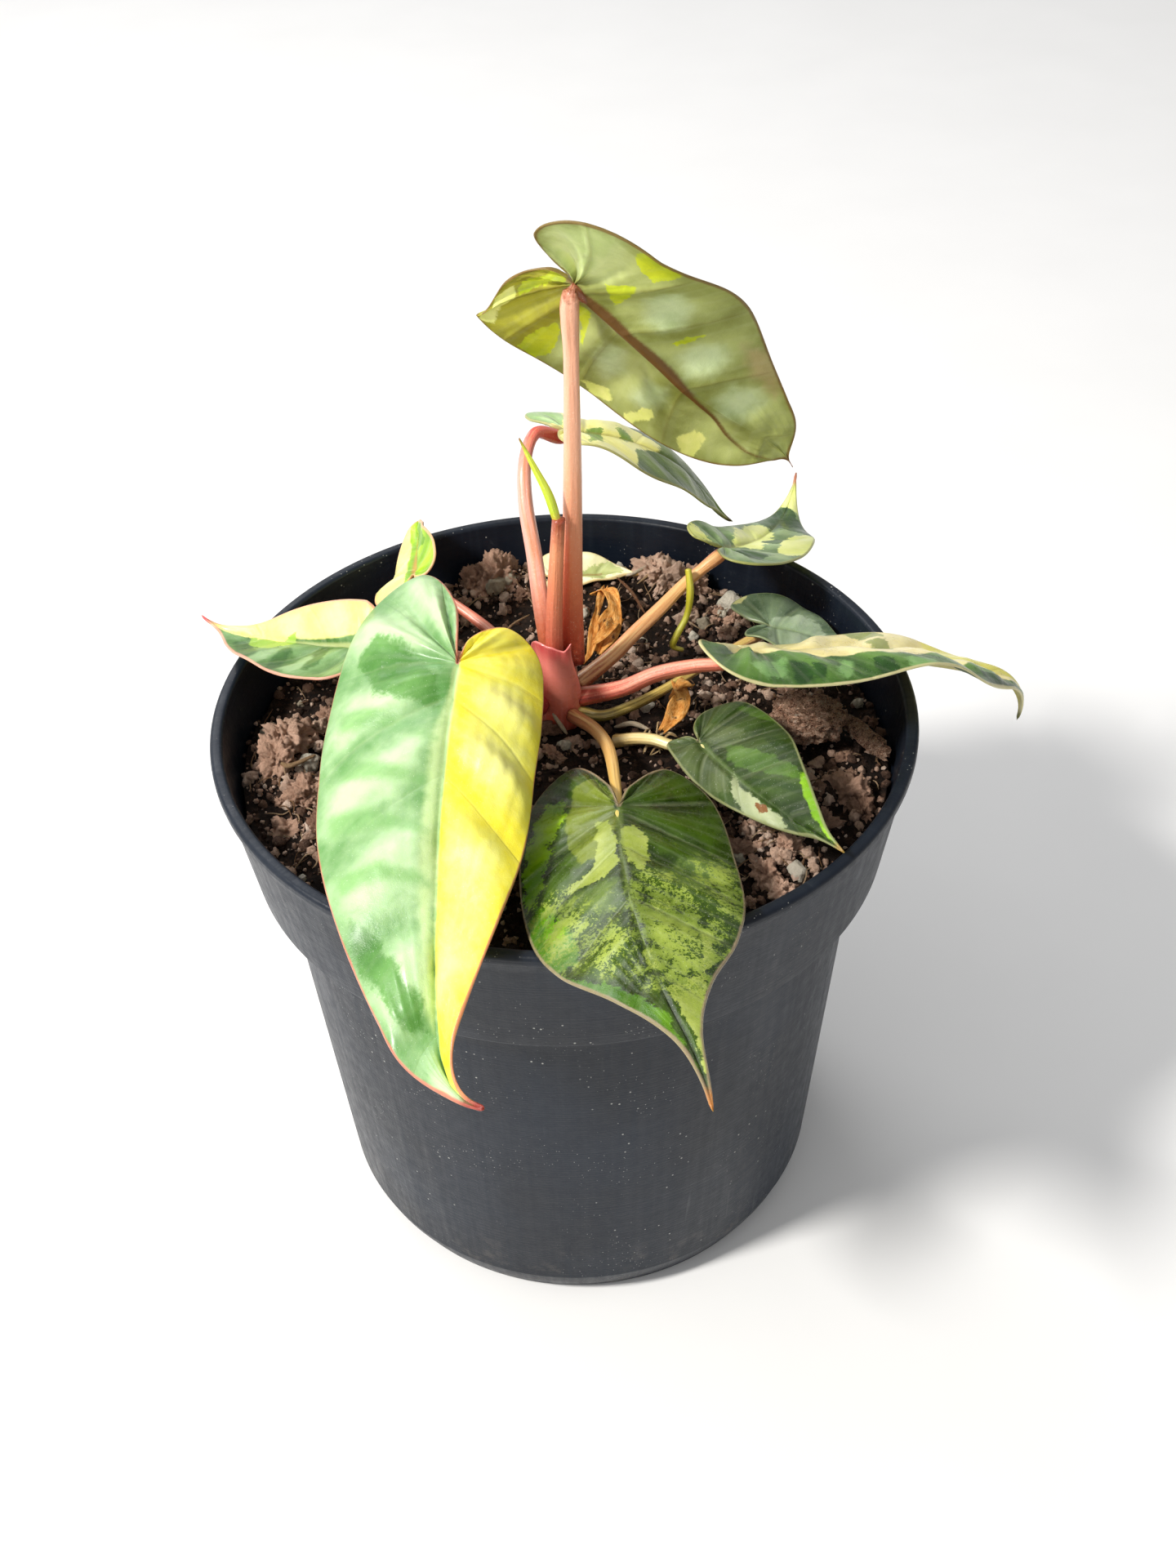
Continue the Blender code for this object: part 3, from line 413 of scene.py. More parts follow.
def depth_inside(points, corners):
    """Signed distance of flat points to a polygon, positive inside."""
    corners = np.asarray(corners, float)
    ends = np.roll(corners, -1, 0)
    inside = np.zeros(len(points), bool)
    nearest = np.full(len(points), np.inf)
    for a, b in zip(corners, ends):
        edge = b - a
        u = np.clip(((points - a) @ edge) / max(edge @ edge, 1e-9), 0, 1)
        nearest = np.minimum(nearest, np.linalg.norm(points - a - u[:, None] * edge, axis=1))
        crosses = (a[1] > points[:, 1]) != (b[1] > points[:, 1])
        if b[1] != a[1]:
            at = (b[0] - a[0]) * (points[:, 1] - a[1]) / (b[1] - a[1]) + a[0]
            inside ^= crosses & (points[:, 0] < at)
    return np.where(inside, nearest, -nearest)


def painted(points, patches, soft):
    """A soft field that is 1 inside any of the patches."""
    value = np.zeros(len(points))
    for corners in patches:
        value = np.maximum(value, smooth(-soft, soft, depth_inside(points, corners)))
    return value


def leaf_piece(name, look):
    """A thin closed blade with sunken veins, a raised rib below and a rounded margin."""
    blade = BLADES[name]
    fine = name in FINE_LEAVES
    rows = np.linspace(0.0, 1.0, (150 if fine else 110) + 1)
    inner = np.array([0.0, 0.012, 0.026, 0.044, 0.07])
    outer = np.array([0.955, 0.972, 0.984, 0.993, 1.0])
    shares = np.concatenate([inner, np.linspace(0.07, 0.955, 19 if fine else 14)[1:-1], outer])
    n = len(shares) - 1
    grid_t, grid_s = np.meshgrid(rows, shares, indexing="ij")
    sides = {}
    for side in (-1, 1):
        place, normal, flat, crest = leaf_surface(name, side, grid_t.ravel(), grid_s.ravel())
        margin_x, margin_y, _ = flat_margin(name, side, rows)
        line = np.stack([margin_x, side * margin_y], -1)
        edge = np.full(len(flat), np.inf)
        for a, b in zip(line[:-1], line[1:]):
            step = b - a
            u = np.clip(((flat - a) @ step) / max(step @ step, 1e-9), 0, 1)
            edge = np.minimum(edge, np.linalg.norm(flat - a - u[:, None] * step, axis=1))
        edge[grid_s.ravel() == 1.0] = 0.0
        sides[side] = (place, normal, flat, crest, edge)
    # the two halves meet along the midrib with one normal
    middle = np.arange(len(rows)) * (n + 1)
    shared = sides[-1][1][middle] + sides[1][1][middle]
    shared /= np.linalg.norm(shared, axis=1)[:, None]
    for side in (-1, 1):
        sides[side][1][middle] = shared

    def woven(k, width):
        left = sides[-1][k].reshape(len(rows), n + 1, width)[:, :0:-1]
        right = sides[1][k].reshape(len(rows), n + 1, width)
        return np.concatenate([left, right], 1).reshape(-1, width)

    place, normal, flat = woven(0, 3), woven(1, 3), woven(2, 2)
    crest, edge = woven(3, 1)[:, 0], woven(4, 1)[:, 0]
    columns = 2 * n + 1
    t = np.repeat(rows, columns)
    s = np.tile(np.concatenate([-shares[:0:-1], shares]), len(rows))
    length, veins = blade[2][0], blade[6][0]
    ahead = np.gradient(place.reshape(len(rows), columns, 3), rows, axis=0).reshape(-1, 3)
    vein_t = np.abs((t * veins + 0.5) % 1.0 - 0.5) / veins
    vein = vein_t * np.linalg.norm(ahead, axis=1)
    u = np.clip(flat[:, 0] / length, 0, 1)
    groove_width = RIB_WIDTH.get(name, 0.9) * (1 - 0.7 * u)
    way = RIB_WAY.get(name, [0.0, 0.0])
    off_rib = flat[:, 1] - curve_through(np.linspace(0, 1, len(way)), way, u)
    rib = np.exp(-(off_rib / groove_width) ** 2) * smooth(-0.8, 1.5, flat[:, 0]) * (1 - 0.8 * u)
    sunk = np.exp(-(vein / 0.6) ** 2) * np.clip(np.abs(s) * 6, 0, 1)
    sunk = sunk * smooth(0.0, 2.5, edge) * (t > 0.02) * (t < 0.97)
    flesh = LEAF_THICKNESS * np.sqrt(np.clip(1 - (1 - np.minimum(edge, 0.35) / 0.35) ** 2, 0, 1))
    flesh = np.where(t == 1.0, 0.0, flesh)
    upper = place - normal * (0.30 * rib + 0.13 * sunk + 0.5 * (LEAF_THICKNESS - flesh))[:, None]
    raised = (RIB_DEPTH * rib + 0.10 * sunk) * np.clip(flesh / LEAF_THICKNESS, 0, 1)
    lower = upper - normal * (flesh + raised)[:, None]
    points = np.concatenate([upper, lower])
    keys = np.round(points / WELD).astype(np.int64)
    _, first, back = np.unique(keys, axis=0, return_index=True, return_inverse=True)
    back = back.reshape(-1)
    below = len(upper)
    faces, which = [], []
    for r in range(len(rows) - 1):
        for c in range(columns - 1):
            a = r * columns + c
            for shift, order in ((0, (a, a + columns, a + columns + 1, a + 1)),
                                 (below, (a, a + 1, a + columns + 1, a + columns))):
                ids = [int(back[k + shift]) for k in order]
                corners = [v for k, v in enumerate(ids) if v != ids[k - 1]]
                if len(set(corners)) == len(corners) > 2:
                    faces.append(corners)
                    which.append(1 if shift else 0)
    flat3 = np.concatenate([np.stack([flat[:, 0], flat[:, 1], edge], -1)] * 2)[first]
    line3 = np.concatenate([np.stack([t, s, crest], -1)] * 2)[first]
    vein3 = np.concatenate([np.stack([vein, u, rib], -1)] * 2)[first]
    on_leaf = flat - np.array([SEAT.get(name, 0.0), 0.0])
    fields = [painted(on_leaf, patches, soft) for _, _, soft, _, _, patches in look["layers"]]
    while len(fields) < FIELDS:
        fields.append(np.zeros(len(flat)))
    paint = [np.concatenate([np.stack(fields[k:k + 3], -1)] * 2)[first] for k in (0, 3)]
    skins = [leaf_face(name, look, under) for under in (False, True)]
    vectors = {"flat": flat3, "line": line3, "vein": vein3, "paint_a": paint[0], "paint_b": paint[1]}
    return add_piece("leaf_" + name, points[first], faces, skins, ["blade_" + name],
                     vectors, which)


# A patch over the whole left half of a leaf.
HALF_LEFT = [(-60, 0.4), (120, 0.4), (120, 60), (-60, 60)]
# Looks of each leaf. "ground" is the darker and lighter green of the upper face, "under" of
# the lower, and "marble" how much they are mottled. "rough" is the roughness and "edge" the
# width of the coloured margin. A layer is two colours, softness in millimetres, raggedness,
# speckle and its patches on the flat leaf: distance along the midrib from the middle of the
# lobes, and signed distance from it, positive on the left.
LOOKS = {
    "tall": {
        "ground": ((90, 128, 44), (166, 196, 96)), "under": ((128, 134, 60), (186, 194, 122)),
        "marble": 0.35, "rib": (104, 62, 22), "margin": (120, 88, 44), "tip": (132, 54, 44), "rough": 0.36,
        "edge": 0.5,
        "layers": [
            ((138, 134, 26), (178, 174, 48), 3.5, 0.4, 0.2, [
                [(-12, 0.5), (5, 1.5), (8, 12), (13, 24), (12, 32), (-14, 32)]]),
            # painted highlight: a pale silvery sheen on the upper lobe
            ((190, 206, 134), (220, 228, 166), 4.0, 0.3, 0.0, [
                [(-9.9, -9.6), (-9.4, -15.1), (-7, -18.2), (-3.5, -19.4), (-1.4, -14.3), (0.1, -6.8),
                 (-1.7, -1.6), (-5.9, -2.4)]]),
            # painted highlights: soft pale patches on the swellings between the veins
            ((176, 192, 138), (208, 220, 174), 3.6, 0.2, 0.0, [
                [(7.4, -9.7), (7.1, -13.4), (9.3, -15.6), (14.1, -13.2), (16.6, -9), (14.9, -6.1),
                 (11.7, -5.7)],
                [(22, -3.5), (22.5, -7.5), (26.2, -10.1), (29.2, -8.6), (29.2, -5.2), (26.4, -1.8)],
                [(34.3, -1.4), (34.3, -5.4), (39.5, -7.2), (42.8, -5.6), (42, -1.1), (37.7, 0.7)],
                [(16, 11.4), (13.6, 4.6), (16.8, 4.5), (23.1, 11.7), (22.6, 16)],
                [(28.2, 14.1), (25.2, 6.4), (27.3, 3.8), (30.5, 7.6), (30.7, 12.9)]]),
            ((168, 154, 98), (188, 174, 122), 4.0, 0.4, 0.0, [
                [(29, -12.4), (33.5, -14.2), (42.4, -10.2), (43.1, -7.6), (35.5, -9.2)]]),
            ((156, 172, 16), (212, 220, 46), 1.1, 0.8, 0.4, [
                [(-2.2, -18), (-1.4, -20.4), (4.7, -21), (5.2, -18.7), (3.9, -14.8), (2, -14.9),
                 (-0.2, -15.5)],
                [(1.4, -6.1), (3.4, -11.7), (5.2, -8.6), (6.4, -3.4), (3.5, -5.4)],
                [(18.8, -4.4), (19.1, -8), (21.1, -10.3), (20.6, -7.2)],
                [(9.4, 24.9), (7.3, 18.3), (6.5, 10.9), (9.8, 14.1), (12.7, 18.8), (14.5, 22.7),
                 (13.3, 25.5)],
                [(-4.9, 12.3), (-6, 6.5), (-3, 1.2), (-2.1, -1.7), (-1, 1.1), (-2.5, 6), (-2.5, 11.4)],
                [(4.3, 3.1), (6, 2.3), (9.7, 6.8), (12.9, 11.5), (9, 8)]]),
            ((204, 210, 112), (232, 230, 146), 1.5, 0.7, 0.3, [
                [(20.8, 20.3), (25.8, 17.6), (28.1, 18.3), (25.3, 21.9)],
                [(30.6, 18.5), (31, 11.2), (32.8, 12.5), (32.8, 18)],
                [(38.2, 11.5), (38.7, 7.1), (41.5, 7.2), (42.7, 12.4), (41, 13)],
                [(1.4, 25.7), (0, 24.5), (-9, 16.8), (-6.7, 11.6), (-3.4, 12.5), (0.3, 19.7),
                 (2.7, 23.7)]]),
        ]},
    "broad": {
        "ground": ((92, 146, 74), (192, 222, 170)), "under": ((120, 146, 92), (160, 176, 124)),
        "marble": 0.3, "rib": (206, 226, 158), "margin": (204, 112, 98), "tip": (150, 60, 50),
        "rough": 0.38, "edge": 0.42,
        "layers": [
            ((246, 230, 54), (252, 244, 104), 0.5, 0.3, 0.0, [HALF_LEFT]),
            # painted highlight: a soft paler patch on the yellow half
            ((250, 246, 110), (253, 250, 146), 6.0, 0.25, 0.0, [
                [(0, 5), (22, 4), (30, 9), (18, 15), (2, 12)],
                [(38, 2), (66, 1), (60, 7), (40, 9)]]),
            ((184, 210, 146), (202, 226, 166), 1.8, 0.3, 0.1, [
                [(6, -0.4), (70, -0.4), (66, -1.8), (40, -2.8), (16, -2.4)]]),
            # darker green patches of the blade, partly painted shade in its hollows
            ((70, 124, 48), (106, 158, 80), 3.4, 0.6, 0.3, [
                [(-3.7, -19.7), (-8.4, -15.9), (-4.2, -9.6), (4.2, -2.8), (10.5, -1.6), (9.2, -6.6),
                 (6.4, -13.5)],
                [(51.1, -13.7), (53.8, -9.5), (59.8, -5.5), (64.9, -2.1), (70.5, -0.8), (69.1, -4.7),
                 (61.2, -10.6), (55.6, -13.8)]]),
            # painted shade: darker green bands in the valleys between the swellings
            ((112, 162, 92), (144, 190, 120), 2.8, 0.35, 0.2, [
                [(20.1, -19.5), (20.9, -11.6), (24.6, -3.6), (25.9, -2.4), (25.2, -11.1), (23.3, -19)],
                [(30.7, -19.9), (30.5, -12), (33.6, -4.1), (36.1, -1.4), (34.2, -9.3), (35.4, -18.3)],
                [(42.6, -16.9), (41.3, -9.4), (43.4, -2.4), (45.5, -1), (44.5, -8.1), (46.4, -15.2)],
                [(7.7, -21.8), (10.1, -13), (13.5, -6.1), (17.3, -1.8), (13.3, -13), (13.2, -20.1)]]),
        ]},
    "heart": {
        "ground": ((24, 44, 0), (62, 90, 8)), "under": ((110, 134, 80), (150, 166, 112)), "marble": 1.0,
        "rib": (110, 128, 62), "margin": (150, 132, 106), "tip": (176, 116, 60), "rough": 0.26, "edge": 0.5,
        "layers": [
            ((60, 84, 30), (98, 122, 54), 3.0, 0.5, 0.4, [
                [(14.9, -8.5), (15.5, -4.6), (17.1, -0.7), (24.8, -0.7), (23.4, -4.3), (21.8, -7.6),
                 (16.7, -11.5)],
                [(14.2, 5), (7.9, 13.2), (7.3, 18.6), (14, 16.2), (20.8, 10.1), (17.6, 6.2)]]),
            ((60, 104, 8), (98, 144, 22), 2.4, 0.9, 0.6, [
                [(32, -16), (44.5, -3.3), (50.3, -1.4), (56.7, -1), (63.8, -0.7), (60, -3), (50, -8),
                 (42, -13)],
                [(13, -16), (24, -10), (32, -10), (34, -15), (22, -19)]]),
            ((88, 138, 4), (158, 200, 24), 1.8, 1.3, 1.4, [
                [(1.4, -17), (-6.4, -15.8), (-12.2, -13.7), (-11.4, -10.8), (-5.2, -9.3), (-0.2, -11.7),
                 (4.8, -13.6), (11, -14.7), (15.5, -16.1), (12.5, -17.9), (6.4, -18.2)],
                [(17.1, -15.6), (17.5, -12.6), (23.7, -10.6), (27, -12), (24, -15.6)]]),
            ((86, 102, 22), (120, 136, 44), 1.8, 0.7, 0.5, [
                [(-12.9, -8.4), (-14.4, -4.9), (-8.8, -1.4), (-0.7, -0.5), (4.4, -1), (8.7, -4.7),
                 (9.1, -7.3), (2.4, -9.6), (-3, -9.5), (-9.2, -8.9)]]),
            ((136, 152, 58), (174, 186, 94), 1.3, 1.0, 0.8, [
                [(-0.8, -4.3), (-0.4, -1.9), (6.7, -0.8), (12.8, -1.1), (15.2, -3.8), (14.6, -7.8),
                 (15, -10.3), (13.2, -9.8), (12.1, -6.7), (9.8, -4.4), (5.1, -4.1)],
                [(2.9, 0.2), (1.6, 2.8), (5.6, 4.4), (10.2, 4.9), (15.6, 2.7), (12.5, 0.8), (8.1, 0)],
                [(22.2, 2.7), (21.3, 5.8), (24, 6.7), (27.2, 5.5), (26.9, 3.1)],
                [(29.7, 9.7), (31.1, 11.8), (40.8, 9), (42.6, 6.3), (37.2, 8.3)],
                [(34.9, -0.9), (34.6, 1.5), (39.9, 1.3), (39.4, -0.8)],
                [(44.2, 0.7), (42.3, 5.3), (42.7, 7.5), (47.8, 5.8), (54.2, 2.9), (61.1, 1.2), (64.9, 0.3),
                 (60.9, 0.6), (55.5, 1.0), (49.5, 1.4)]]),
            ((84, 106, 24), (154, 172, 72), 6.5, 2.8, 4.2, [
                [(21.2, 0.5), (17.8, 5.5), (20.8, 8.8), (25.3, 11.2), (30.3, 11.9), (37.2, 9.9), (42.5, 7),
                 (43.1, 3.9), (41.6, 0.9), (37.2, -1.5), (32.3, -1.4)],
                [(27.7, -8), (29.1, -3.2), (31.5, -1.7), (35.3, -2.7), (35.1, -5.5), (30.6, -8)],
                [(15, 12.3), (9.7, 16.9), (15.5, 18.6), (25.8, 16.8), (22, 16.1), (18.2, 14.4)],
                [(17.1, -14.8), (17.5, -11.6), (23.7, -9.2), (26.8, -11.1), (30.7, -12.7), (27.1, -14.9),
                 (21.1, -16.2)]]),
        ]},
    "left": {
        "ground": ((62, 108, 34), (128, 168, 104)), "under": ((150, 166, 110), (184, 192, 140)),
        "marble": 0.5, "rib": (216, 220, 150), "margin": (226, 160, 140), "tip": (226, 100, 104),
        "rough": 0.32, "edge": 0.5,
        "layers": [
            ((240, 232, 130), (248, 242, 166), 0.8, 0.5, 0.0, [
                [(45, 0.8), (29.9, 1), (21, 1.4), (17.6, -0.6), (8.6, -1.2), (2.6, -2.1), (-1.1, -4.4),
                 (-30, -5), (-30, -60), (45, -60)]]),
            ((144, 184, 54), (172, 202, 84), 1.5, 0.8, 0.4, [
                [(27, 0.6), (19.3, 0.3), (16.6, -2.2), (15.5, 1.2), (19.4, 4.4), (25, 3.6)]]),
            ((40, 88, 22), (68, 116, 40), 1.6, 0.6, 0.4, [
                [(12.9, 13.3), (15.3, 8.2), (16, 1.7), (13.4, 4), (11.3, 10.5), (11.1, 13.7)],
                [(6.2, 11.1), (9.2, 3.6), (8.9, 0.5), (6.5, 1.1), (4.5, 7.6), (4.6, 11.2)],
                [(28.9, 3.2), (26.4, 2.5), (19.7, 6.7), (17.7, 11.7), (23, 9.1)]]),
            ((134, 170, 112), (158, 190, 136), 2.0, 0.5, 0.3, [
                [(19.5, 12.3), (19.1, 6.8), (17, 4.2), (16, 9.1), (15.6, 14)],
                [(9.4, 4), (10.4, 12), (6.4, 13), (8, 5)]]),
        ]},
    "small": {
        "ground": ((116, 168, 8), (178, 214, 34)), "under": ((160, 180, 70), (196, 206, 110)),
        "marble": 0.6, "rib": (226, 120, 84), "margin": (232, 176, 140), "tip": (230, 190, 150),
        "rough": 0.34, "edge": 0.5,
        "layers": [
            ((232, 226, 130), (244, 238, 166), 0.8, 0.6, 0.2, [
                [(-60, 1.6), (120, 1.6), (120, 60), (-60, 60)],
                [(-12, -8), (-12, 2), (-3, 0.4), (-5, -7)]]),
            ((84, 140, 10), (120, 170, 24), 1.6, 1.0, 0.6, [[(6, -5), (16, -4), (18, -1), (8, -1)]]),
        ]},
    "long": {
        "ground": ((44, 84, 14), (104, 144, 62)), "under": ((60, 84, 30), (96, 118, 58)), "marble": 0.5,
        "rib": (190, 184, 126), "margin": (216, 206, 156), "tip": (96, 100, 44), "rough": 0.3, "edge": 0.5,
        "layers": [
            ((230, 214, 142), (246, 234, 178), 0.9, 0.6, 0.1, [
                [(-14, -5), (-3, -5.4), (1.6, -6.3), (8.2, -8.9), (20, -11.3), (27, -12), (36, -8.5),
                 (44.8, -3.5), (56.2, -2.4), (64, -0.8), (90, 0), (90, 40), (-14, 40)]]),
            ((226, 218, 100), (240, 234, 136), 4.0, 0.5, 0.0, [[(40, 0.4), (80, 0.4), (80, 20), (40, 20)]]),
            ((140, 150, 84), (168, 174, 108), 1.6, 0.8, 0.3, [
                [(26, 4.4), (30.9, 5.2), (29, -3.4), (24, -7)],
                [(24, 11), (31, 11.5), (31.5, 7), (26, 6)]]),
            ((22, 58, 6), (44, 88, 20), 1.6, 0.7, 0.3, [
                [(3.7, -11.6), (6.1, -12.4), (6.4, -17.3), (4.4, -19), (2.4, -17.8)],
                [(7.2, -12.5), (9.8, -14.2), (7.6, -18.3), (6.6, -18.3)],
                [(18, -13), (22, -14), (22, -18), (18, -18)],
                [(44, -6), (56, -4), (66, -2), (58, -6), (46, -9)]]),
            ((112, 156, 84), (142, 182, 112), 2.0, 0.6, 0.3, [
                [(-5.6, -13), (3.1, -10.2), (1.4, -16.7), (-3.3, -17)],
                [(12.9, -11.6), (14.9, -13.1), (12.2, -18), (10.3, -16.7)],
                [(24, -14), (30, -14), (29, -17), (24, -17)]]),
        ]},
    "back": {
        "ground": ((76, 110, 46), (156, 180, 126)), "under": ((92, 122, 20), (128, 152, 48)), "marble": 0.8,
        "rib": (170, 170, 100), "margin": (160, 160, 96), "tip": (206, 120, 96), "rough": 0.34, "edge": 0.4,
        "layers": [
            ((220, 228, 122), (244, 248, 164), 2.2, 0.9, 0.6, [
                [(6.9, 1.5), (15.2, 5), (26.4, 4.6), (26.4, -0.3), (17.3, -3), (8.4, -4.4), (6, -0.8)],
                [(10, -7), (20.8, -4.8), (28.5, -7.5), (22, -12), (11.2, -14), (6, -11)],
                [(-8, 6), (-7, 2), (-3, 2), (-4, 7)],
                [(41, 3), (60, 2), (60, -3), (41, -3)]]),
            ((44, 74, 34), (76, 106, 58), 2.0, 0.9, 0.5, [
                [(31.1, 6.7), (39.5, 4.4), (41.4, -0.1), (38, -4), (28.8, -9), (27.8, -4.9), (27.6, -1.5),
                 (26.9, 2)],
                [(-2, -2), (5, -3), (4, -9), (-3, -9)],
                [(14, -2), (20, -3.4), (20, -5.4), (14, -5)]]),
        ]},
    "low": {
        "ground": ((62, 84, 58), (126, 146, 114)), "under": ((90, 110, 70), (120, 136, 90)), "marble": 0.5,
        "rib": (120, 136, 92), "margin": (140, 152, 112), "tip": (110, 90, 60), "rough": 0.32, "edge": 0.35,
        "layers": [
            ((142, 162, 130), (170, 186, 158), 2.2, 0.7, 0.3, [
                [(-0.7, 0.8), (2, 3.3), (5.5, 4.9), (9, 4.2), (11, 0.4), (7.7, -6.5), (2, -8.7)]]),
            ((190, 188, 126), (208, 204, 148), 1.2, 0.8, 0.4, [[(-12, 3), (-12, 9), (-6, 10), (-7, 5)]]),
        ]},
    "side": {
        "ground": ((30, 52, 8), (60, 84, 28)), "under": ((110, 134, 80), (140, 160, 100)), "marble": 0.6,
        "rib": (112, 134, 78), "margin": (140, 144, 100), "tip": (150, 120, 60), "rough": 0.36,
        "edge": 0.45,
        "layers": [
            ((62, 80, 36), (88, 104, 58), 2.6, 0.6, 0.9, [
                [(-9, -7), (-5, 1), (0, -1), (4.2, 0.2), (11.5, -0.4), (16, -2.7), (12, -7), (0, -9)],
                [(-3, 2), (1, 6.5), (6, 7.5), (6.9, 3.5), (2.1, 0.8)]]),
            ((62, 94, 26), (88, 122, 44), 1.5, 0.7, 0.5, [
                [(4.9, 3.5), (10.3, 5.2), (17, 7.3), (23.4, 7.7), (26.8, 6.7), (23.7, 5.5), (17.3, 3.2),
                 (10.6, 1.1)],
                [(-4.6, 10.4), (-1.7, 12.2), (4.1, 13.3), (8.1, 13.2), (3.7, 11.2), (-2.4, 9.9)]]),
            ((24, 48, 8), (44, 70, 20), 1.2, 0.5, 0.3, [
                [(16.1, 1.1), (22.7, 4.2), (28.1, 5.5), (29.9, 4.6), (24, 3.1), (17.9, 0.6)],
                [(8, 9), (16, 10.5), (22, 10), (14, 8)]]),
            ((112, 162, 14), (150, 196, 40), 1.0, 0.7, 0.4, [
                [(24.5, 7.6), (27.6, 7.8), (32.5, 5), (36.9, 2.4), (41.3, 0.3), (38.5, 0.5), (33.4, 2.1),
                 (29, 4.3)]]),
            ((146, 158, 116), (176, 184, 144), 1.3, 0.7, 0.6, [
                [(12, 0.6), (15.5, -0.7), (22.1, -1.2), (27.6, -0.9), (30.4, -1.7), (28, -4.6), (22, -4.6),
                 (16, -2.7)]]),
            ((96, 58, 22), (126, 82, 38), 0.8, 0.9, 0.6, [
                [(22.1, -1.7), (23.8, -0.8), (25.4, -1.6), (24.2, -2.6)]]),
        ]},
    "arched": {
        "ground": ((62, 88, 16), (114, 136, 54)), "under": ((104, 122, 62), (146, 160, 104)), "marble": 0.5,
        "rib": (150, 136, 76), "margin": (170, 166, 110), "tip": (90, 70, 40), "rough": 0.34, "edge": 0.4,
        "layers": [
            ((236, 230, 124), (250, 246, 168), 1.8, 0.7, 0.4, [
                [(-6, 14), (6.1, 14), (16.1, 12), (22.6, 3), (21, 0), (13.5, -4), (9, -16), (-8, -16)]]),
            ((150, 186, 116), (176, 204, 146), 1.8, 0.8, 0.3, [
                [(-6, 14), (3.2, 14), (2.2, 6), (-0.7, 1.7), (-3.1, 1.9), (-6, 5)]]),
            ((116, 146, 48), (148, 176, 76), 1.5, 1.0, 0.8, [
                [(3.5, -1.1), (6.2, 2.6), (8.2, 1.7), (4.9, -6.6), (0.3, -10.9)],
                [(12.3, 5.4), (14.8, 4.4), (15.3, 0.2), (11.8, -2.1)]]),
        ]},
    "pale": {
        "ground": ((222, 218, 160), (246, 242, 204)), "under": ((200, 196, 130), (220, 214, 160)),
        "marble": 0.5, "rib": (170, 162, 100), "margin": (214, 186, 132), "tip": (176, 130, 70),
        "rough": 0.42, "edge": 0.35,
        "layers": [
            ((172, 182, 112), (198, 204, 140), 2.4, 0.9, 0.4, [[(3, 0.4), (12, 3), (15, 0.4), (8, -2)]]),
            ((146, 130, 70), (172, 152, 92), 0.9, 0.8, 0.4, [
                [(-2, 0.3), (10, 0.3), (10, -0.5), (-2, -0.5)]]),
        ]},
}


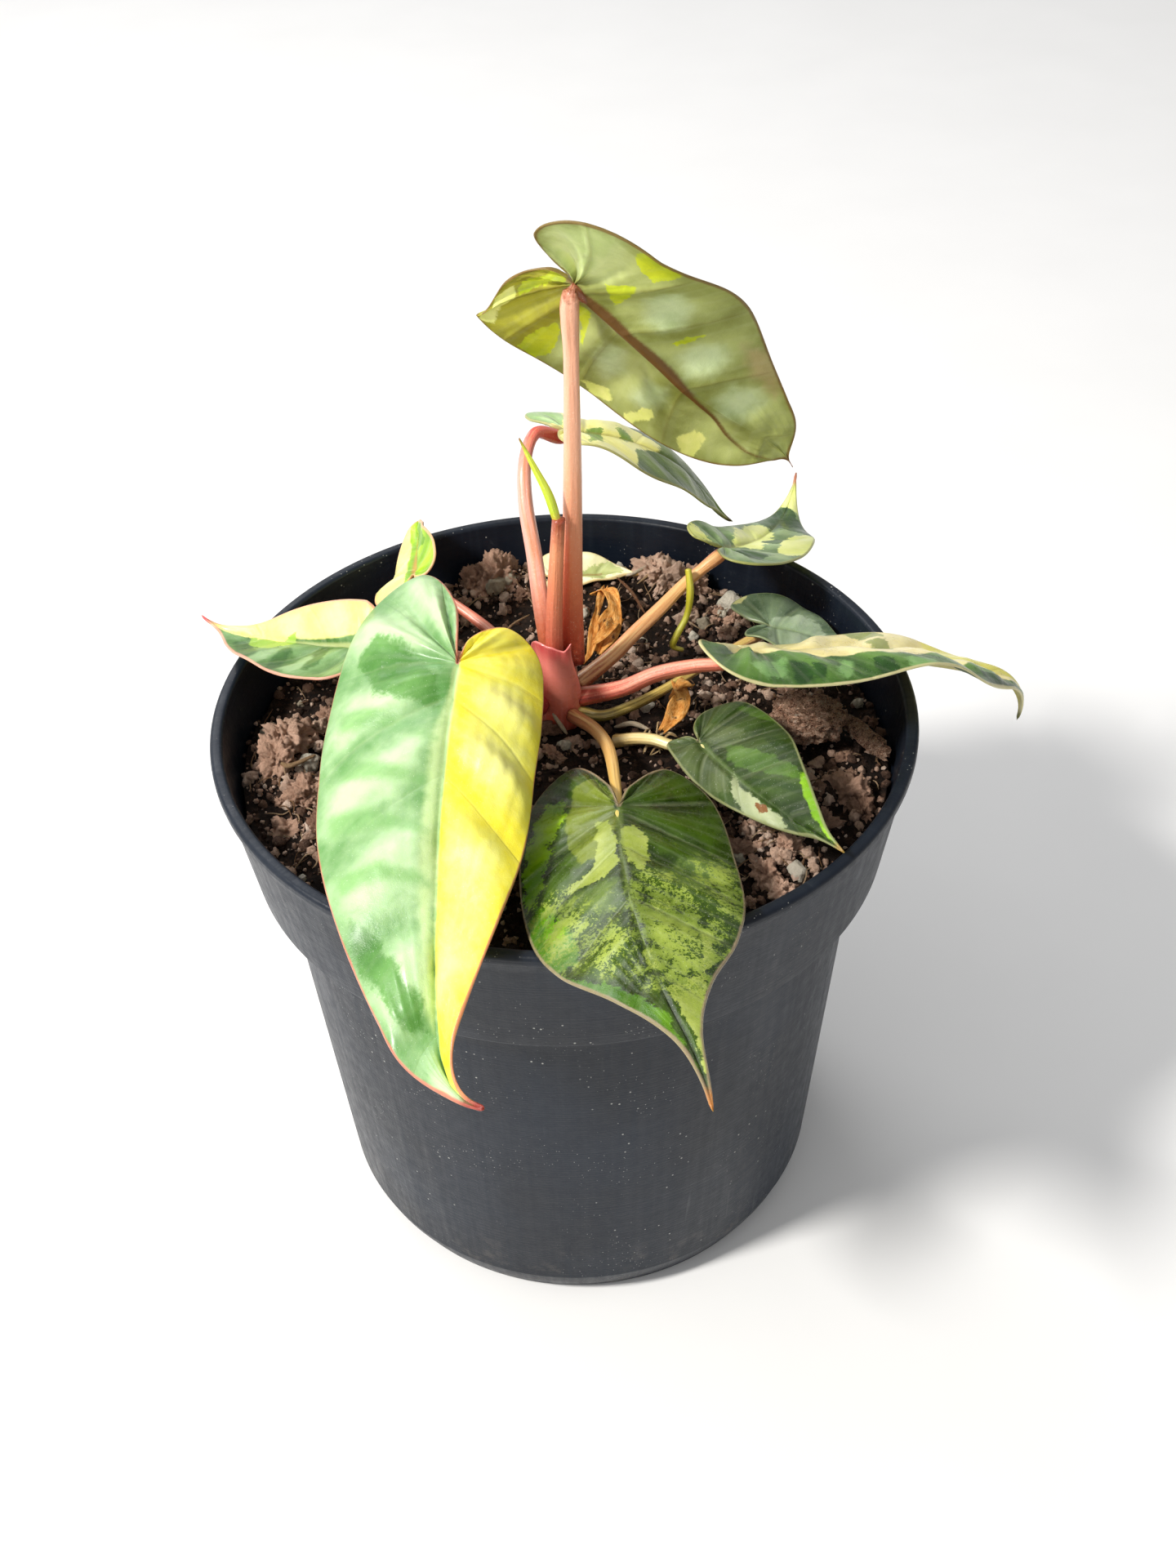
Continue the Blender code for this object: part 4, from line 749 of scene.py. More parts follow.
def leaf_face(name, look, under):
    """Marbled leaf tissue with painted highlights on its soft swellings, faint veins, specks, painted white
    glints, a coloured margin and a waxy skin.
    """
    g = Graph("leaf_" + name + ("_under" if under else "_upper"), specular=0.32)
    seed = float(len(name) * 7 + ord(name[0]))
    x, y, edge = g.values("flat")
    t, s, crest = g.values("line")
    vein, share, rib = g.values("vein")
    flat = g.join(x, y, seed)
    veins = BLADES[name][6][0]
    drawn = g.join(t * (veins * 4.0), s * 2.6, seed)
    cloud = g.noise(flat, 0.10, 3.0)
    blotch = g.noise(flat, 0.40, 5.0, 0.62, 0.4)
    speck = g.noise(flat, 1.9, 4.0, 0.75)
    streak = g.noise(drawn, 1.0, 4.0, 0.6)
    away = g.math("ABSOLUTE", s)
    dark, light = look["under"] if under else look["ground"]
    # painted highlight: the swellings between the veins are lighter, the hollows at the veins darker
    swelling_highlight = crest * (g.step(away, 0.03, 0.3) * g.step(away, 1.05, 0.7))
    marble = look["marble"]
    mottle = (streak - 0.5) * (0.3 * marble) + (blotch - 0.5) * (0.9 * marble)
    # the tone mixes random mottling with the painted highlights on the swellings
    tone = cloud * 0.75 + swelling_highlight * 0.5 + mottle
    colour = g.mix(g.step(tone, 0.16, 0.92), dark, light)
    colour = g.mix(g.step(speck, 0.5, 0.72) * (0.2 * marble), colour, light)
    ragged = (blotch - 0.5) * 1.5 + (streak - 0.5) * 0.7
    dots = (speck - 0.5) * 1.3
    # each layer turns to its paler colour with the mottling and with the painted highlights on the
    # swellings
    layer_mottle_and_sheen = g.step(cloud * 0.4 + (blotch * 0.35 + swelling_highlight * 0.25), 0.28, 0.68)
    fields = g.values("paint_a") + g.values("paint_b")
    for k, (low, high, _, rough, speckle, _) in enumerate(look["layers"]):
        value = fields[k] + (ragged * rough + dots * speckle)
        blur = 0.06 + 0.5 * max(0.0, 0.85 - rough)
        held = g.step(value, 0.5 - blur, 0.5 + blur) * g.step(fields[k], 0.0, 0.16)
        if under and name != "tall":
            held = held * 0.75
        colour = g.mix(held, colour, g.mix(layer_mottle_and_sheen, low, high))
    # fine parallel veins between the lateral ones, then the lateral veins themselves
    fine = g.math("SINE", t * (veins * 2 * math.pi * 5))
    colour = g.mix(g.step(fine, 0.3, 1.0) * 0.025, colour, (255, 255, 230))
    line = g.step(vein, 0.65, 0.05) * g.step(away, 0.02, 0.12)
    line = line * (g.step(edge, 0.3, 3.0) * g.step(share, 0.95, 0.6))
    colour = g.mix(line * (0.16 if under else 0.1), colour, look["rib"] if under else (226, 234, 190))
    # painted glints: small white specks on the upper face
    white = g.step(g.noise(flat, 4.5, 1.0), 0.70, 0.78)
    colour = g.mix(white * (0.0 if under else 0.3), colour, (240, 248, 232))
    core = g.step(rib + (speck - 0.5) * 0.3, 0.1 if under else 0.3, 0.45 if under else 0.85)
    colour = g.mix(core * (0.92 if under else 0.5), colour, look["rib"])
    wide = look["edge"]
    rim = g.step(edge + (blotch - 0.5) * (0.8 * wide), 1.25 * wide, 0.45 * wide)
    colour = g.mix(rim * 0.85, colour, look["margin"])
    end = g.step(share + (blotch - 0.5) * 0.06, 0.93, 0.985)
    colour = g.mix(end, colour, look["tip"])
    base = look["rough"] + (0.14 if under else 0.0)
    roughness = g.span(blotch * 0.6 + cloud * 0.4, 0.3, 0.7, base - 0.08, base + 0.12)
    relief = g.bump(g.step(vein, 0.8, 0.0) * (1.0 if under else -1.0) + fine * 0.1, 0.09)
    relief = g.bump(g.noise(flat, 0.5, 3.0, 0.5), 0.14, relief)
    relief = g.bump(g.cells(flat, 5.0), 0.02, relief)
    g.fix({"Coat Weight": 0.0 if under else 0.20, "Coat Roughness": 0.22, "Subsurface Weight": 0.30,
           "Subsurface Radius": (0.9, 1.0, 0.35), "Subsurface Scale": MM})
    return g.finish(colour, roughness, relief)


# Stalks and stems

def path_points(points, count):
    """Evenly spread points of a smooth curve through the given ones."""
    given = np.asarray(points, float)
    reach = reach_along(given)
    where = np.linspace(0, reach[-1], count)
    return np.stack([curve_through(reach, given[:, k], where) for k in range(3)], -1)


def swept_axes(path):
    """Two axes square to the path at each point, turning as little as they can."""
    ahead = np.gradient(path, axis=0)
    ahead /= np.linalg.norm(ahead, axis=1)[:, None]
    side = np.cross(ahead[0], [0.0, 0.0, 1.0])
    if np.linalg.norm(side) < 0.2:
        side = np.cross(ahead[0], [0.0, 1.0, 0.0])
    sides = []
    for direction in ahead:
        side = side - direction * np.dot(side, direction)
        side = side / np.linalg.norm(side)
        sides.append(side)
    sides = np.array(sides)
    return ahead, sides, np.cross(ahead, sides)


# Points of each stalk's centre line, then the radius at each end.
STALKS = {
    "tall": ([(2.2, 11.0, 118.2), (2.6, 10.1, 138.0), (3.2, 10.2, 162.0), (3.6, 10.0, 182.0)], 1.95, 1.3),
    "arched": ([(-2.1, 12.7, 118.2), (-3.4, 14.0, 129.0), (-4.3, 19.0, 136.4), (-5.6, 25.4, 144.4),
                (-5.3, 31.0, 150.2), (-3.2, 36.4, 152.2)], 1.65, 1.1),
    "broad": ([(-4.6, 7.0, 110.4), (-8.2, 2.0, 120.0), (-13.0, -4.2, 127.0)], 2.0, 1.4),
    "left": ([(-4.6, 10.6, 111.6), (-15.0, 10.5, 118.5), (-25.0, 9.0, 122.6)], 1.3, 1.0),
    "small": ([(-4.4, 12.4, 111.0), (-9.6, 20.5, 113.2), (-14.5, 26.0, 115.4), (-20.5, 31.0, 117.6)],
              1.3, 0.9),
    "long": ([(2.9, 9.4, 110.4), (11.0, 5.6, 115.0), (17.5, 4.4, 119.0), (24.5, 2.2, 122.2),
              (29.0, 0.0, 124.0)], 1.7, 1.1),
    "back": ([(2.9, 12.2, 111.4), (9.6, 16.6, 114.3), (14.2, 21.0, 116.2), (19.6, 25.2, 119.0),
              (25.0, 30.0, 121.6)], 1.6, 1.1),
    "low": ([(2.4, 8.2, 108.0), (7.2, 5.6, 108.6), (12.4, 7.3, 109.1), (18.0, 10.8, 109.3),
             (27.0, 18.0, 109.6), (34.0, 23.0, 110.4)], 1.1, 0.8),
    "side": ([(9.6, -0.2, 107.0), (13.2, -2.6, 109.4), (16.5, -4.9, 110.8), (19.5, -6.8, 110.9)], 1.2, 0.9),
    "heart": ([(1.6, 5.8, 108.8), (5.6, -1.0, 110.6), (7.8, -9.0, 112.6), (8.5, -22.0, 115.6)], 1.6, 1.1),
}
YELLOW_STALKS = ("back", "low", "side", "heart")
# Where a stalk lies lower under its notch, and where it is slimmer than its solid.
JOINT_DROP = {"broad": 1.5}
SLIM = {"heart": 0.80, "broad": 0.9}
# Colours along each stalk, then that of the painted highlight streak along its top.
STALK_COLOURS = {
    "tall": ([(0.0, (130, 40, 28)), (0.07, (216, 96, 66)), (0.22, (240, 136, 98)), (0.55, (250, 182, 148)),
              (0.90, (244, 178, 148)), (0.95, (150, 76, 44))], (248, 160, 110)),
    "arched": ([(0.0, (150, 70, 36)), (0.10, (214, 120, 84)), (0.30, (240, 178, 160)),
                (0.60, (242, 176, 160)), (0.76, (230, 92, 78)), (0.95, (216, 80, 60))], (244, 160, 120)),
    "broad": ([(0.0, (170, 50, 50)), (0.5, (220, 96, 90)), (0.9, (226, 130, 110))], (244, 176, 160)),
    "left": ([(0.0, (190, 76, 60)), (0.5, (228, 140, 116)), (0.9, (236, 176, 150))], (244, 196, 170)),
    "small": ([(0.0, (160, 64, 46)), (0.5, (224, 124, 100)), (0.9, (232, 120, 90))], (244, 184, 160)),
    "long": ([(0.0, (196, 80, 66)), (0.22, (206, 100, 80)), (0.55, (228, 130, 104)), (0.92, (190, 76, 66))],
             (246, 180, 150)),
    "back": ([(0.0, (150, 70, 40)), (0.25, (214, 138, 90)), (0.7, (238, 178, 112)), (0.92, (216, 124, 74))],
             (246, 200, 136)),
    "low": ([(0.0, (110, 104, 40)), (0.4, (170, 140, 60)), (0.92, (222, 170, 110))], (226, 200, 110)),
    "side": ([(0.0, (206, 168, 96)), (0.4, (230, 206, 140)), (0.92, (232, 222, 150))], (246, 232, 180)),
    "heart": ([(0.0, (170, 90, 60)), (0.25, (216, 162, 96)), (0.7, (232, 190, 104)),
               (0.92, (214, 196, 104))], (248, 214, 140)),
    "sheath": ([(0.0, (160, 60, 44)), (0.3, (232, 128, 98)), (0.8, (246, 158, 120)), (1.0, (160, 70, 46))],
               (250, 190, 156)),
    "spear": ([(0.0, (214, 150, 60)), (0.15, (196, 216, 40)), (0.85, (214, 234, 60)), (1.0, (150, 40, 34))],
              (236, 246, 120)),
    "curl": ([(0.0, (216, 204, 60)), (0.6, (206, 206, 50)), (0.85, (190, 180, 50)), (1.0, (130, 110, 50))],
             (236, 236, 110)),
    "crown": ([(0.0, (90, 30, 20)), (0.5, (160, 44, 36)), (1.0, (130, 30, 28))], (200, 80, 60)),
}

# The way that the painted highlight along the top of a stalk faces.
TOP_LIGHT = np.array([0.0, -0.5, 0.86])


def stalk_material(name):
    """Juicy stalk skin: colours along it, long streaks, a painted highlight along its top and small pale
    specks.
    """
    stops, top = STALK_COLOURS[name]
    if name in LOOKS:
        stops = stops + [(1.0, LOOKS[name]["rib"])]
    g = Graph("stalk_" + name + "_skin")
    g.fix({"Coat Weight": 0.25, "Coat Roughness": 0.2})
    along, around, high = g.values("stalk")
    seed = float(ord(name[0]) + len(name))
    long_streak = g.noise(g.join(around * 1.4, along * 0.05, seed), 2.2, 3.0)
    spots = g.noise(g.place(), 1.1, 3.0, 0.65)
    run = g.values("span")[0]
    colour = g.ramp(run + (spots - 0.5) * 0.12, stops)
    body = g.step(run, 0.93, 0.86) if name in LOOKS else 1.0
    # painted highlight: streaks on the side that faces TOP_LIGHT are paler
    lit = g.step(high, 0.45, 1.0) * g.step(long_streak, 0.35, 0.65)
    colour = g.mix(lit * body, colour, top)
    brown = 0.08 if name in YELLOW_STALKS else 0.2
    colour = g.mix(g.step(long_streak, 0.52, 0.72) * brown, colour, (140, 56, 40))
    colour = g.mix(g.step(g.noise(g.place(), 3.2, 2.0), 0.64, 0.72) * 0.35, colour, (250, 226, 200))
    relief = g.bump(long_streak, 0.16)
    relief = g.bump(g.noise(g.place(), 2.0, 4.0), 0.08, relief)
    return g.finish(colour, g.span(spots, 0.3, 0.7, 0.30, 0.48), relief)


def spokes(path, sides):
    """Turns round a path, the directions they point in at each of its points, and the way ahead."""
    ahead, across, other = swept_axes(path)
    turn = np.linspace(0, 2 * math.pi, sides, endpoint=False)
    out = np.cos(turn)[:, None] * across[:, None] + np.sin(turn)[:, None] * other[:, None]
    return turn, out, ahead


def tube(name, given, radii, look, replaced, rings=72, sides=28, ridge=0.04, knots=None):
    """A fine stalk with radii at its knots and slight ridges along it."""
    path = path_points(given, rings)
    turn, out, ahead = spokes(path, sides)
    share = np.linspace(0, 1, rings)
    size = curve_through(np.linspace(0, 1, len(radii)) if knots is None else knots, radii, share)
    reach = reach_along(path)[:, None]
    groove = ridge * (np.cos(5 * turn + 0.02 * reach) + 0.6 * np.sin(3 * turn + 0.11 * reach))
    skin = path[:, None] + (size[:, None] * (1 + groove))[..., None] * out
    ends = [path[:1] - ahead[:1] * 0.3 * size[0], path[-1:] + ahead[-1:] * 0.3 * size[-1]]
    stalk = np.stack(np.broadcast_arrays(reach, turn, out @ TOP_LIGHT), -1).reshape(-1, 3)
    span = np.outer(np.repeat(share, sides), [1, 0, 0])
    faces = sheet_faces(rings, sides, closed=True)
    last = (rings - 1) * sides
    for k in range(sides):
        after = (k + 1) % sides
        faces += [(rings * sides, after, k), (rings * sides + 1, last + k, last + after)]
    vectors = {"stalk": np.concatenate([stalk, [[0, 0, 0], [reach[-1, 0], 0, 0]]]),
               "span": np.concatenate([span, [[0, 0, 0], [1, 0, 0]]])}
    return add_piece(name, np.concatenate([skin.reshape(-1, 3)] + ends), faces, [stalk_material(look)],
                     replaced, vectors)


def add_stalks():
    """Each leaf's stalk, swollen under the blade, where it runs on into the midrib."""
    for name, (line, first, last) in STALKS.items():
        _, points, _, up = midrib_frames(BLADES[name])
        drop = JOINT_DROP.get(name, 0.0)
        joint = points[NOTCH] - up[NOTCH] * (0.62 + last * 0.9 + drop)
        under = points[NOTCH + 3] - up[NOTCH + 3] * (LEAF_THICKNESS + 0.55 + 0.6 * drop)
        further = points[NOTCH + 5] - up[NOTCH + 5] * (LEAF_THICKNESS + 0.35)
        first, last = first * SLIM.get(name, 1.0), last * SLIM.get(name, 1.0)
        radii = [first * 1.12, first, (first + last) / 2, last * 1.02, last * 1.2, last * 0.65, 0.15]
        tube("petiole_" + name, line + [tuple(joint), tuple(under), tuple(further)], radii, name,
             ["stalk_" + name], knots=[0.0, 0.12, 0.5, 0.78, 0.9, 0.96, 1.0])


# Sheath round the stem, crown and young leaf

CUP_CENTRE = (-0.5, 10.8)
CUP_HEIGHTS = [102.0, 105.0, 109.0, 113.0, 117.0, 121.4, 125.2]
CUP_RADII = [4.05, 4.1, 4.2, 4.3, 4.3, 4.3, 4.7]
# From its left edge round the front to its right edge, in degrees.
CUP_TURNS = (142.0, 326.0)
# How far its right edge leans back towards the left at the rim, in degrees.
CUP_LEAN = 34.0
CUP_ROWS = 61
CUP_COLUMNS = 91
# How much lower it is at the back, and the shares of its width where that fades.
CUP_BACK_DROP = 6.0
CUP_BACK = (0.10, 0.50)
CROWN_AT = (0.1, 10.9)
CROWN_RADIUS = 3.1


def cup_material():
    """Fleshy red sheath: inside darker towards its foot as painted shade, glossy pink outside with a pale
    rim.
    """
    g = Graph("sheath_flesh", 0.26)
    g.fix({"Coat Weight": 0.5, "Coat Roughness": 0.15})
    rise, around, outside = g.values("cup")
    ribs = g.noise(g.join(around * 3.0, rise * 0.6), 1.6, 3.0)
    spots = g.noise(g.place(), 0.5, 4.0)
    outer = g.ramp(rise + (spots - 0.5) * 0.2,
                   [(0.0, (140, 60, 44)), (0.2, (246, 112, 88)), (0.5, (254, 146, 124)),
                    (0.8, (254, 146, 132)), (1.0, (240, 96, 96))])
    outer = g.mix(g.step(ribs, 0.42, 0.7) * 0.4, outer, (250, 156, 138))
    # painted shade: the inside darkens towards the foot of the cup
    inner = g.ramp(rise, [(0.0, (60, 12, 10)), (0.8, (176, 56, 48)), (1.0, (226, 104, 94))])
    colour = g.mix(outside, inner, outer)
    colour = g.mix(g.step(rise, 0.97, 1.0), colour, (238, 134, 128))
    return g.finish(colour, g.span(spots, 0.3, 0.7, 0.20, 0.36), g.bump(ribs, 0.12))


def add_cup():
    """The split sheath: high and flared in front, low at the back, with a curled corner."""
    share = np.linspace(0, 1, CUP_COLUMNS)
    heights = np.linspace(CUP_HEIGHTS[0], CUP_HEIGHTS[-1], CUP_ROWS)[:, None]
    rise = (heights - heights[0]) / (heights[-1] - heights[0])
    spread = CUP_TURNS[1] - CUP_TURNS[0] - CUP_LEAN * smooth(0.35, 1.0, rise)
    turns = np.radians(CUP_TURNS[0] + share * spread)
    flare = 1.1 * rise**5 * smooth(0.86, 0.99, share) + 0.5 * rise**8 * np.sin(math.pi * share)
    bulge = 0.35 * np.sin(math.pi * rise) * smooth(0.35, 0.8, share)
    folds = 0.25 * rise**6 * np.sin(3 * turns) + 0.07 * np.sin(5 * turns + 2 * rise) * rise
    inner = curve_through(CUP_HEIGHTS, CUP_RADII, heights) + flare + bulge + folds
    # narrower towards the foot
    inner -= 0.75 * (1 - rise) ** 1.6
    worn = 0.12 * (smooth(0.97, 1.0, 1 - share) + smooth(0.97, 1.0, share))
    thick = 0.66 - 0.34 * rise**4 - worn
    notch = 0.9 * smooth(0.74, 0.88, share) - 2.0 * smooth(0.90, 1.0, share) + 0.12 * np.sin(9 * turns)
    height = heights - CUP_BACK_DROP * (1 - smooth(*CUP_BACK, share)) * rise - rise**6 * notch
    points, cup = [], []
    for outside in (0.0, 1.0):
        r = inner + outside * thick
        x, y = CUP_CENTRE[0] + r * np.cos(turns), CUP_CENTRE[1] + r * np.sin(turns)
        points.append(np.stack([x, y, height], -1).reshape(-1, 3))
        cup.append(np.stack(np.broadcast_arrays(rise, turns, outside), -1).reshape(-1, 3))
    add_piece("sheath_cup", np.concatenate(points), slab_faces(CUP_ROWS, CUP_COLUMNS), [cup_material()],
              ["base_sheath"], {"cup": np.concatenate(cup)})


def add_stems():
    """The crown and the young leaf that is still rolled up in its sheath."""
    crown = [(CROWN_AT[0], CROWN_AT[1], z) for z in (101.0, 107.0, 113.0, 118.4)]
    radii = [0.8 * CROWN_RADIUS, CROWN_RADIUS, 0.98 * CROWN_RADIUS, 0.86 * CROWN_RADIUS, 0.5 * CROWN_RADIUS]
    tube("stem_crown", crown, radii, "crown", ["crown"], rings=60, sides=48,
         ridge=0.03, knots=[0.0, 0.25, 0.6, 0.88, 1.0])
    sheath = [(-1.4, 9.2, 118.4), (-1.0, 7.7, 131.0), (-0.2, 7.0, 144.0), (0.4, 7.0, 151.9)]
    tube("sheath_young", sheath, [1.7, 1.6, 1.45, 1.3, 1.15], "sheath", ["young_sheath"])
    spear = [(0.25, 7.05, 151.0), (-1.2, 8.0, 156.4), (-3.4, 9.05, 161.2), (-5.8, 10.0, 166.5)]
    tube("leaf_rolled", spear, [0.7, 0.8, 0.66, 0.46, 0.14], "spear", ["young_spear"],
         ridge=0.07)
    curl = [(25.2, 29.2, 125.2), (25.5, 27.2, 121.0), (24.8, 26.4, 116.2), (22.8, 24.8, 112.8),
            (22.0, 24.6, 110.2), (24.0, 24.8, 109.0)]
    tube("stalk_curled", curl, [0.62, 0.72, 0.6, 0.66, 0.45], "curl", ["curled_stalk"],
         sides=16, ridge=0.08)


# Dead strips of leaf

def dried_material():
    """Papery dead leaf: orange with pale worn ridges and brown spots."""
    g = Graph("dried_paper", 0.62, 0.3)
    run, across, seed = g.values("strip")
    grain = g.noise(g.join(across * 9.0, run * 2.0, seed), 1.4, 4.0, 0.6)
    spots = g.noise(g.place(), 0.7, 4.0, 0.6)
    colour = g.ramp(grain * 0.6 + spots * 0.4, [(0.25, (110, 54, 16)), (0.4, (188, 108, 36)),
                                                (0.52, (232, 166, 82)), (0.72, (250, 218, 160))])
    colour = g.mix(g.step(spots, 0.60, 0.72), colour, (92, 50, 24))
    relief = g.bump(grain, 0.25)
    return g.finish(colour, g.span(grain, 0.3, 0.7, 0.5, 0.75),
                    g.bump(g.noise(g.place(), 2.4, 4.0), 0.12, relief))


def add_strip(name, given, widths, replaced, seed, rows=90, columns=14):
    """A thin crinkled ribbon with curled edges and ragged ends."""
    path = path_points(given, rows)
    share = np.linspace(0, 1, rows)
    spread = curve_through(np.linspace(0, 1, len(widths)), widths, share)
    _, across, _ = swept_axes(path)
    dice = np.random.default_rng(seed)
    ragged = dice.uniform(0, 0.9, columns + 1)
    points, strip = [], []
    for lower in (0, 1):
        for i in range(rows):
            twist = 0.5 * math.sin(3.0 * share[i])
            flat = across[i] * math.cos(twist) + np.array([0.0, 0.0, 1.0]) * math.sin(twist)
            flat = flat / np.linalg.norm(flat)
            ahead = path[min(i + 1, rows - 1)] - path[max(i - 1, 0)]
            ahead = ahead / np.linalg.norm(ahead)
            for k in range(columns + 1):
                c = 2.0 * k / columns - 1.0
                end = smooth(0.86, 1.0, share[i]) - smooth(0.14, 0.0, share[i])
                at = path[i] + flat * spread[i] * 0.5 * c * (1 - 0.12 * abs(end))
                lift = 0.18 * spread[i] * abs(c) ** 1.3 + 0.22 * math.sin(9 * share[i] + 4 * c + seed)
                lift += 0.16 * field.noise(Vector((at * 0.9).tolist()))
                at = at + np.array([0.0, 0.0, lift - 0.28 * lower]) + ahead * ragged[k] * end
                points.append(at)
                strip.append((share[i] * len(given), c, float(seed)))
    add_piece(name, points, slab_faces(rows, columns + 1), [dried_material()], replaced,
              {"strip": strip})


def add_strips():
    """The crumpled dead leaf with its loose strands, and the withered shred beside it."""
    add_strip("dried_ribbon", [(7.4, 45.6, 108.8), (10.2, 42.0, 111.6), (11.0, 36.0, 110.8),
                               (9.0, 31.0, 108.4), (7.4, 28.0, 107.1)],
              (2.4, 3.4, 2.9, 5.0, 2.6), ["dried_leaf"], 3)
    add_strip("withered_shred",
              [(21.8, 10.6, 111.6), (22.6, 7.0, 110.8), (20.8, 3.6, 109.4), (18.6, 1.4, 108.2)],
              (2.2, 3.4, 4.0, 1.4), ["withered_leaf"], 5, rows=70)
    add_strip("dried_strand_long", [(9.6, 47.0, 109.4), (8.4, 41.0, 111.2), (7.2, 34.0, 111.0),
                                    (5.6, 27.0, 107.6), (4.4, 25.4, 106.8)],
              (1.2, 1.7, 1.2, 2.2, 0.8), [], 11, columns=6)
    add_strip("dried_strand_short",
              [(12.6, 38.6, 107.2), (10.8, 33.4, 110.0), (8.6, 29.6, 110.4), (6.0, 29.0, 108.2)],
              (0.8, 2.0, 2.6, 1.0), [], 13, rows=60, columns=6)
    add_strip("withered_curl", [(24.6, 12.0, 109.8), (24.0, 10.4, 112.0), (22.2, 9.4, 112.2),
                                (20.4, 8.6, 110.4)],
              (0.8, 2.2, 2.0, 0.9), [], 17, rows=50, columns=6)


# Pot

POT_HEIGHT = 116.5
STEP_HEIGHT = POT_HEIGHT - 26.3
LIP_HEIGHT = POT_HEIGHT - 2.2
WALL = 1.6
POT_SIDES = 256
HOLE_COUNT = 8
HOLE_RING = 36.0
HOLE_RADIUS = 3.5


def pot_material():
    """Black moulded plastic: fine flow lines, scuffs, water marks and dust."""
    g = Graph("pot_black_plastic", 0.42, 0.32)
    at = g.place()
    x, y, z = g.parts(at)
    around = g.math("ARCTAN2", y, x)
    cloud = g.noise(at, 0.03, 3.0)
    flow = g.noise(g.join(around * 40.0, z * 0.02), 1.0, 3.0)
    rings = g.noise(g.join(z * 3.0, around * 0.6), 1.0, 2.0)
    scuff = g.noise(g.join(around * 30.0, z * 0.5, 4.0), 0.7, 5.0, 0.7)
    colour = g.mix(g.step(cloud, 0.35, 0.7), (14, 21, 32), (22, 31, 44))
    colour = g.mix(g.step(flow, 0.5, 0.8) * 0.2, colour, (40, 50, 62))
    worn = g.step(scuff, 0.62, 0.75)
    colour = g.mix(worn * 0.16, colour, (86, 90, 96))
    foot = g.step(z, 26.0, 2.0) * g.step(g.noise(at, 0.16, 5.0, 0.7), 0.52, 0.7)
    colour = g.mix(foot * 0.35, colour, (112, 106, 98))
    drip = g.noise(g.join(around * 22.0, z * 0.03, 9.0), 1.0, 2.0)
    drip = g.step(drip, 0.68, 0.76) * g.step(z, 98.0, 60.0)
    colour = g.mix(drip * 0.16, colour, (120, 122, 124))
    dust = g.step(g.cells(at, 0.42), 0.1, 0.05) * g.step(g.noise(at, 0.05, 2.0), 0.5, 0.62)
    fine = g.step(g.cells(at, 1.1), 0.13, 0.07) * g.step(g.noise(at, 0.07, 2.0), 0.48, 0.66)
    colour = g.mix(g.math("MAXIMUM", dust, fine) * 0.75, colour, (196, 196, 190))
    rough = g.span(scuff * 0.6 + flow * 0.4, 0.3, 0.75, 0.3, 0.58)
    relief = g.bump(rings, 0.05)
    relief = g.bump(g.noise(at, 1.6, 3.0), 0.04, relief)
    relief = g.bump(flow, 0.08, relief)
    return g.finish(colour, rough, g.bump(worn, -0.03, relief))


def pot_profile():
    """Half outline of the pot from the axis below to the axis inside, with rounded edges."""
    def arc(cx, cz, r, first, last, steps=6):
        turns = np.radians(np.linspace(first, last, steps))
        return [(cx + r * math.cos(a), cz + r * math.sin(a)) for a in turns]

    def line(a, b, steps):
        return [(a[0] + (b[0] - a[0]) * k / steps, a[1] + (b[1] - a[1]) * k / steps)
                for k in range(1, steps)]

    outside = [(0, 0.6), (24, 0.6), (26, 0.0), (42.0, 0.0), (46.4, 0.0)]
    outside += arc(46.6, 1.2, 1.2, -80, -10)
    outside += line((47.9, 1.2), (50.2, 6.0), 3) + arc(49.2, 7.2, 1.1, -20, 5, 4)
    outside += line((50.35, 7.6), (56.0, STEP_HEIGHT - 2.0), 14)
    outside += [(56.05, STEP_HEIGHT - 1.2), (56.35, STEP_HEIGHT - 0.5), (57.0, STEP_HEIGHT)]
    outside += [(58.5, STEP_HEIGHT), (59.8, STEP_HEIGHT)] + arc(59.9, STEP_HEIGHT + 0.9, 0.9, -80, -6)
    outside += line((60.85, STEP_HEIGHT + 1.2), (64.0, LIP_HEIGHT - 0.3), 9)
    outside += [(64.0, LIP_HEIGHT - 0.2), (64.3, LIP_HEIGHT)] + arc(64.4, LIP_HEIGHT + 0.6, 0.6, -60, 0, 4)
    outside += arc(64.2, POT_HEIGHT - 0.8, 0.8, 0, 90) + arc(63.4, POT_HEIGHT - 0.8, 0.8, 95, 170)
    inside = [(62.5, LIP_HEIGHT), (62.3, LIP_HEIGHT - 0.8)]
    inside += line((62.3, LIP_HEIGHT - 0.8), (59.3, STEP_HEIGHT + WALL + 0.8), 12)
    inside += [(59.2, STEP_HEIGHT + WALL + 0.4), (58.6, STEP_HEIGHT + WALL), (54.9, STEP_HEIGHT + WALL)]
    inside += [(54.4, STEP_HEIGHT + 0.9)] + line((54.4, STEP_HEIGHT), (48.7, 6.5), 12)
    inside += [(48.7, 6.5), (46.2, 2.4), (45.5, 2.0), (42.0, 2.0), (26, 2.0), (0, 2.0)]
    return outside + inside


def revolve(profile, sides):
    """Points and faces of a turned solid from (radius, height) pairs."""
    points, rings, faces = [], [], []
    turns = np.linspace(0, 2 * math.pi, sides, endpoint=False)
    for radius, height in profile:
        if radius == 0:
            rings.append([len(points)])
            points.append((0.0, 0.0, height))
            continue
        rings.append(list(range(len(points), len(points) + sides)))
        points += [(radius * math.cos(a), radius * math.sin(a), height) for a in turns]
    for low, high in zip(rings[:-1], rings[1:]):
        for k in range(sides):
            n = (k + 1) % sides
            if len(low) == 1:
                faces.append((low[0], high[n], high[k]))
            elif len(high) == 1:
                faces.append((low[k], low[n], high[0]))
            else:
                faces.append((low[k], low[n], high[n], high[k]))
    return points, faces


